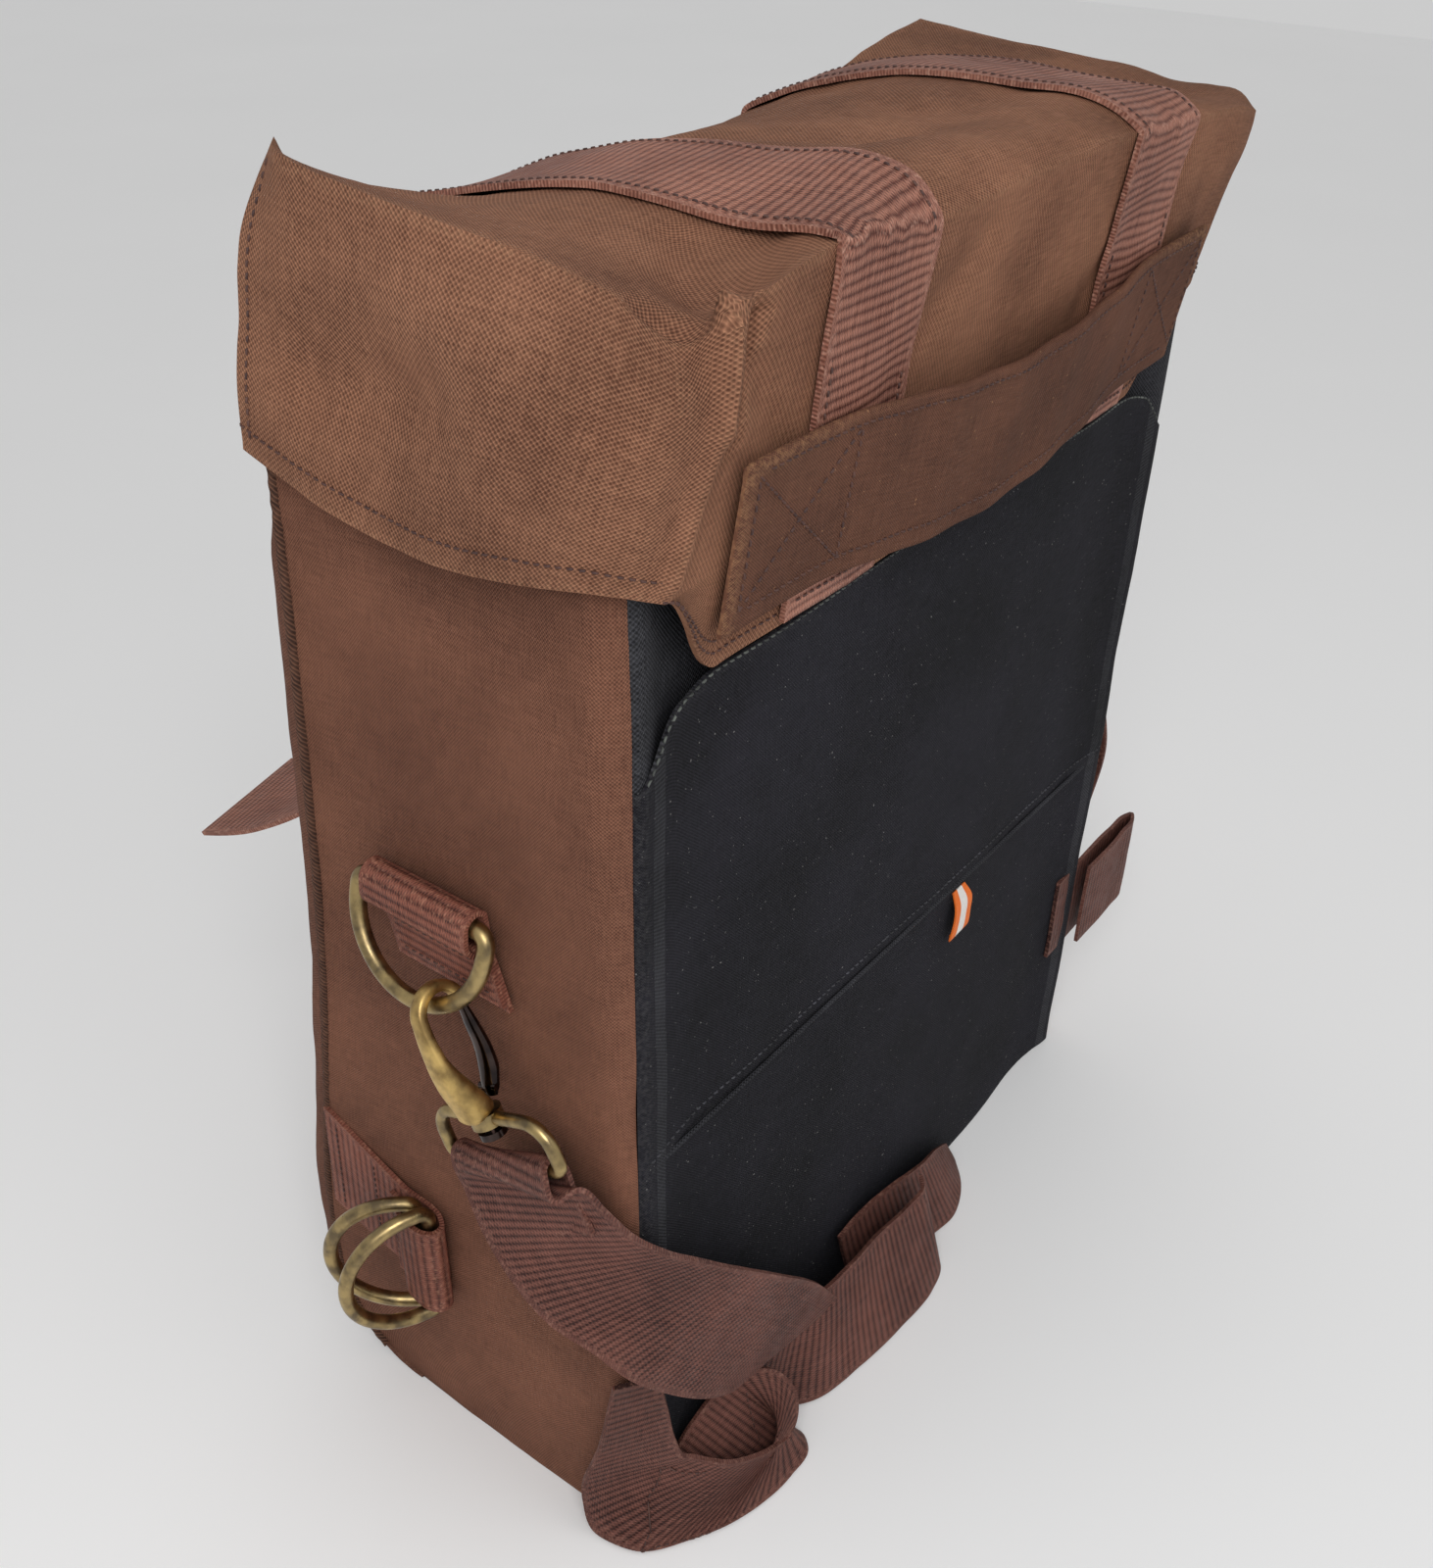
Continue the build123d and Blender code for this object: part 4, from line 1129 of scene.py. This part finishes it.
def hook_gate(sign):
    """Sprung gate: a glossy dark lever with a thumb bead."""
    path = curve([(-5.6, 23.5), (-6.4, 27.0), (-8.6, 33.0), (-9.6, 40.0), (-9.2, 50.0), (-8.8, 57.0)], 40)
    size = np.interp(np.linspace(0, 1, 40), [0, 0.1, 0.3, 0.5, 0.8, 1.0], [2.4, 4.0, 4.6, 4.0, 3.2, 2.2])

    def outline(k):
        return [(size[k] * 0.62 * math.sin(a), size[k] * math.cos(a)) for a in turns(18)]
    name = sided("hook_gate", sign)
    piece = loft(name + "_lever", hook_rings(sign, path, outline), DARK)
    fit(piece, sided("gate", sign), "dark_steel", name)


# --- shoulder strap ---
def strap_half(sign, lower_run, upper_run, along, wave, start, end):
    """Half of the strap: its sewn end round the hook's loop, then a run between two edges."""
    at = hook_place(sign)
    turn = 4.3
    wrap = [at(-turn, 0, -30), at(-turn, 0, -12), at(-turn, 0, 0), at(-turn * 0.7, 0, turn * 0.75),
            at(0, 0, turn), at(turn * 0.7, 0, turn * 0.75), at(turn, 0, 0), at(turn, 0, -10)]
    across = (at(0, 1, 0) - at(0, 0, 0)) * (WEB / 2 - 0.6)
    lower = [p - across for p in wrap] + lower_run
    upper = [p + across for p in wrap] + upper_run
    grid = band(lower, upper, along, 15)
    piece = strip(sided("shoulder_strap", sign), grid, STRAP, (sign * 150, 60, 120), [wave])
    start, end = [tuple(round(c * MM, 6) for c in place) for place in (start, end)]
    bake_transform(piece)
    return piece, grid


def shoulder_right():
    """Right half: round the hook's loop, out past the rear corner, to a fold over the pile."""
    lower = [(213, 39, 178), (215, 54, 162), (213, 69, 147), (206, 82, 134), (198, 92, 118), (187, 97, 103),
             (173, 101, 86), (158, 102, 70), (143, 101, 56)]
    upper = [(203, 77, 213), (198, 85, 203), (192, 91, 190), (180, 97, 174), (160, 101, 152),
             (138, 104, 128), (116, 106, 104), (94, 106, 78), (66, 104, 36)]
    piece, grid = strap_half(1, lower, upper, 190, (0.5, 30.0, 81), (197, 85, 165), (205, 55, 195))
    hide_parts("strap_end_right", "strap_side_right", "strap_back")
    declare(piece, grid, "folded", "hook_loop_right", "strap_pile")


def shoulder_left():
    """Left half: from the other hook straight down the side, then under the bag."""
    steps = [(13, 36, 172, 82, 190), (9, 31, 130, 80, 140), (6, 28, 80, 78, 85), (6, 27, 30, 77, 30),
             (4, 27, 2.2, 77, 2.2)]
    lower = [(-HALF - out, y, z) for out, y, z, _, _ in steps]
    upper = [(-HALF - out, y, z) for out, _, _, y, z in steps]
    piece, grid = strap_half(-1, lower, upper, 170, (0.5, 40.0, 83), (-200, 60, 120), (-205, 52, 185))
    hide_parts("strap_end_left", "strap_side_left")
    declare(piece, grid, "hung", "hook_loop_left")


def strap_pile():
    """Slack of the strap, on edge in folds at the foot of the back."""
    lower = [(132, 92, 22), (118, 97, 6), (107, 101, 1.2), (94, 111, 1.2), (66, 118, 1.2), (37, 122, 1.2),
             (12, 123, 1.2), (-4, 119, 1.2), (-10, 110, 1.4)]
    upper = [(112, 94, 66), (100, 97, 56), (88, 98, 52), (76, 101, 50), (56, 103, 50), (34, 104, 50),
             (12, 106, 49), (-2, 106, 50), (-6, 102, 51)]
    front = band(lower, upper, 110)
    lower = [(34, 93, 1.2), (10, 99, 1.2), (-16, 106, 1.2), (-34, 109, 1.2), (-52, 103, 1.2), (-66, 92, 1.2)]
    upper = [(46, 90, 48), (24, 91, 49), (2, 94, 48), (-20, 95, 42), (-42, 92, 31), (-58, 89, 19)]
    back = band(lower, upper, 80)
    for name, grid, replaced in (("strap_pile", front, ["strap_floor"]), ("strap_pile_fold", back, [])):
        piece = strip(name, grid, STRAP, (30, 60, 60), [(0.6, 25.0, 85)])
        fit(piece, "bag", "webbing", *replaced)
        declare(piece, grid, "folded", "body_base")


# --- corner loops ---
def corner_loop_near():
    """Loop of webbing slumped round the near rear corner, down to the floor."""
    lower = [(195, 82, 100), (198, 76, 60), (200, 68, 22), (200, 74, 3), (196, 91, 1.2), (178, 107, 1.2),
             (150, 120, 1.2), (130, 123, 1.2), (116, 122, 1.6), (112, 116, 2), (121, 113, 2.4),
             (131, 113.5, 2.6), (141, 112.5, 2.8), (151, 110, 3), (162, 106, 3.2)]
    upper = [(182, 94, 104), (180, 97, 80), (177, 98, 60), (175, 100, 50), (169, 102, 43), (160, 110, 36),
             (147, 114, 26), (134, 116, 19), (122, 118, 19), (114, 114, 30), (117, 105, 43), (126, 98, 48),
             (139, 92, 45), (155, 89, 37), (172, 88.6, 27)]
    grid = band(lower, upper, 160)
    piece = strip("corner_loop_right_webbing", grid, STRAP, (150, 95, 20), [(0.5, 24.0, 91)])
    fit(piece, "bag", "webbing", "corner_loop_right")
    declare(piece, grid, "folded", "body_base")
    rows = [[(199, 98, 10), (188, 102, 38)], [(199, 98, 10), (172, 116, 8)],
            [(188, 102, 38), (170, 112, 32)], [(121, 110, 8), (120, 104, 38)], [(131, 109, 8), (130, 99, 40)]]
    stitch_rows("corner_loop_right_stitches", piece, rows, "bag", BROWN_THREAD)


def corner_loop_far():
    """Loop of webbing standing out past the far rear corner."""
    z = (low("corner_loop_left")[2] + high("corner_loop_left")[2]) / 2
    path = [(-160, 1.6), (-190, 1.6), (-222, 1.9), (-239, 3.2), (-243, 5.2), (-239, 7.6), (-222, 8.8),
            (-182, 8.4)]
    lower, upper = [[(x, RACK_Y + off, z + half) for x, off in path] for half in (-WEB / 2, WEB / 2)]
    grid = band(lower, upper, 110)
    piece = strip("corner_loop_left_webbing", grid, STRAP, (-200, RACK_Y + 5, z), [(0.4, 30.0, 93)])
    fit(piece, "bag", "webbing", "corner_loop_left")
    declare(piece, grid, "folded", "rack_pocket_lower")


# --- hardware that stays as CAD ---
def dress_hardware():
    for name, piece in nodes.items():
        if "ring_inner" in name or "ring_outer" in name or name.startswith("hook_loop"):
            material = BRASS
        elif name in ("d_ring_right", "d_ring_left"):
            material = BRASS
        elif name.startswith(("gate_pin", "swivel_rivet")):
            material = DARK
        elif name.endswith("stiffener"):
            material = BOARD
        else:
            continue
        piece.data.materials.clear()
        piece.data.materials.append(material)
        for polygon in piece.data.polygons:
            polygon.material_index = 0


# --- studio ---
def studio():
    """Pale floor, even sky, a key softbox over the near corner and a fill behind."""
    bpy.ops.mesh.primitive_plane_add(size=8.0)
    floor = bpy.context.object
    floor.name = "studio_floor"
    floor.data.materials.append(floor_material())
    world = bpy.data.worlds.new("studio")
    bpy.context.scene.world = world
    world.use_nodes = True
    background = world.node_tree.nodes["Background"]
    background.inputs[0].default_value = (1.0, 1.0, 1.0, 1.0)
    background.inputs[1].default_value = 0.6
    for place, size, power in (((0.68, 0.50, 0.93), 0.45, 5.0), ((-0.3, 1.3, 1.3), 1.2, 1.5)):
        light = bpy.data.lights.new("softbox", "AREA")
        light.size = size
        light.energy = power
        lamp = bpy.data.objects.new("softbox", light)
        lamp.location = place
        lamp.visible_camera = False
        lamp.rotation_euler = (Vector((0, 0, 0.25)) - Vector(place)).to_track_quat("-Z", "Y").to_euler()
        bpy.context.scene.collection.objects.link(lamp)
    bpy.context.scene.view_settings.view_transform = "Standard"


def camera():
    """Camera above the near rear corner, looking down along -back."""
    data = bpy.data.cameras.new("camera")
    data.lens = 35.73
    data.sensor_width = 36.0
    viewer = bpy.data.objects.new("camera", data)
    right = Vector((-0.5958, 0.8030, 0.0163))
    up = Vector((-0.4436, -0.3459, 0.8268))
    back = Vector((0.6696, 0.4854, 0.5623))
    turn = Matrix((right, up, back)).transposed()
    viewer.matrix_world = Matrix.Translation((0.4613, 0.3175, 0.6150)) @ turn.to_4x4()
    bpy.context.scene.collection.objects.link(viewer)
    bpy.context.scene.camera = viewer


camera()
studio()
dress_hardware()
body_front()
body_base()
back_wall()
rack_pocket()
seam_tag()
mouth_binding()
lining()
lid_piece = lid()
carry_handle()
for side in (1, -1):
    body_side(side)
    front_welt(side)
    lid_strap(side, lid_piece)
    side_ring_tab(side)
    low_ring_tab(side)
    closure_tab(side)
    hook_body(side)
    hook_gate(side)
shoulder_right()
shoulder_left()
strap_pile()
corner_loop_near()
corner_loop_far()
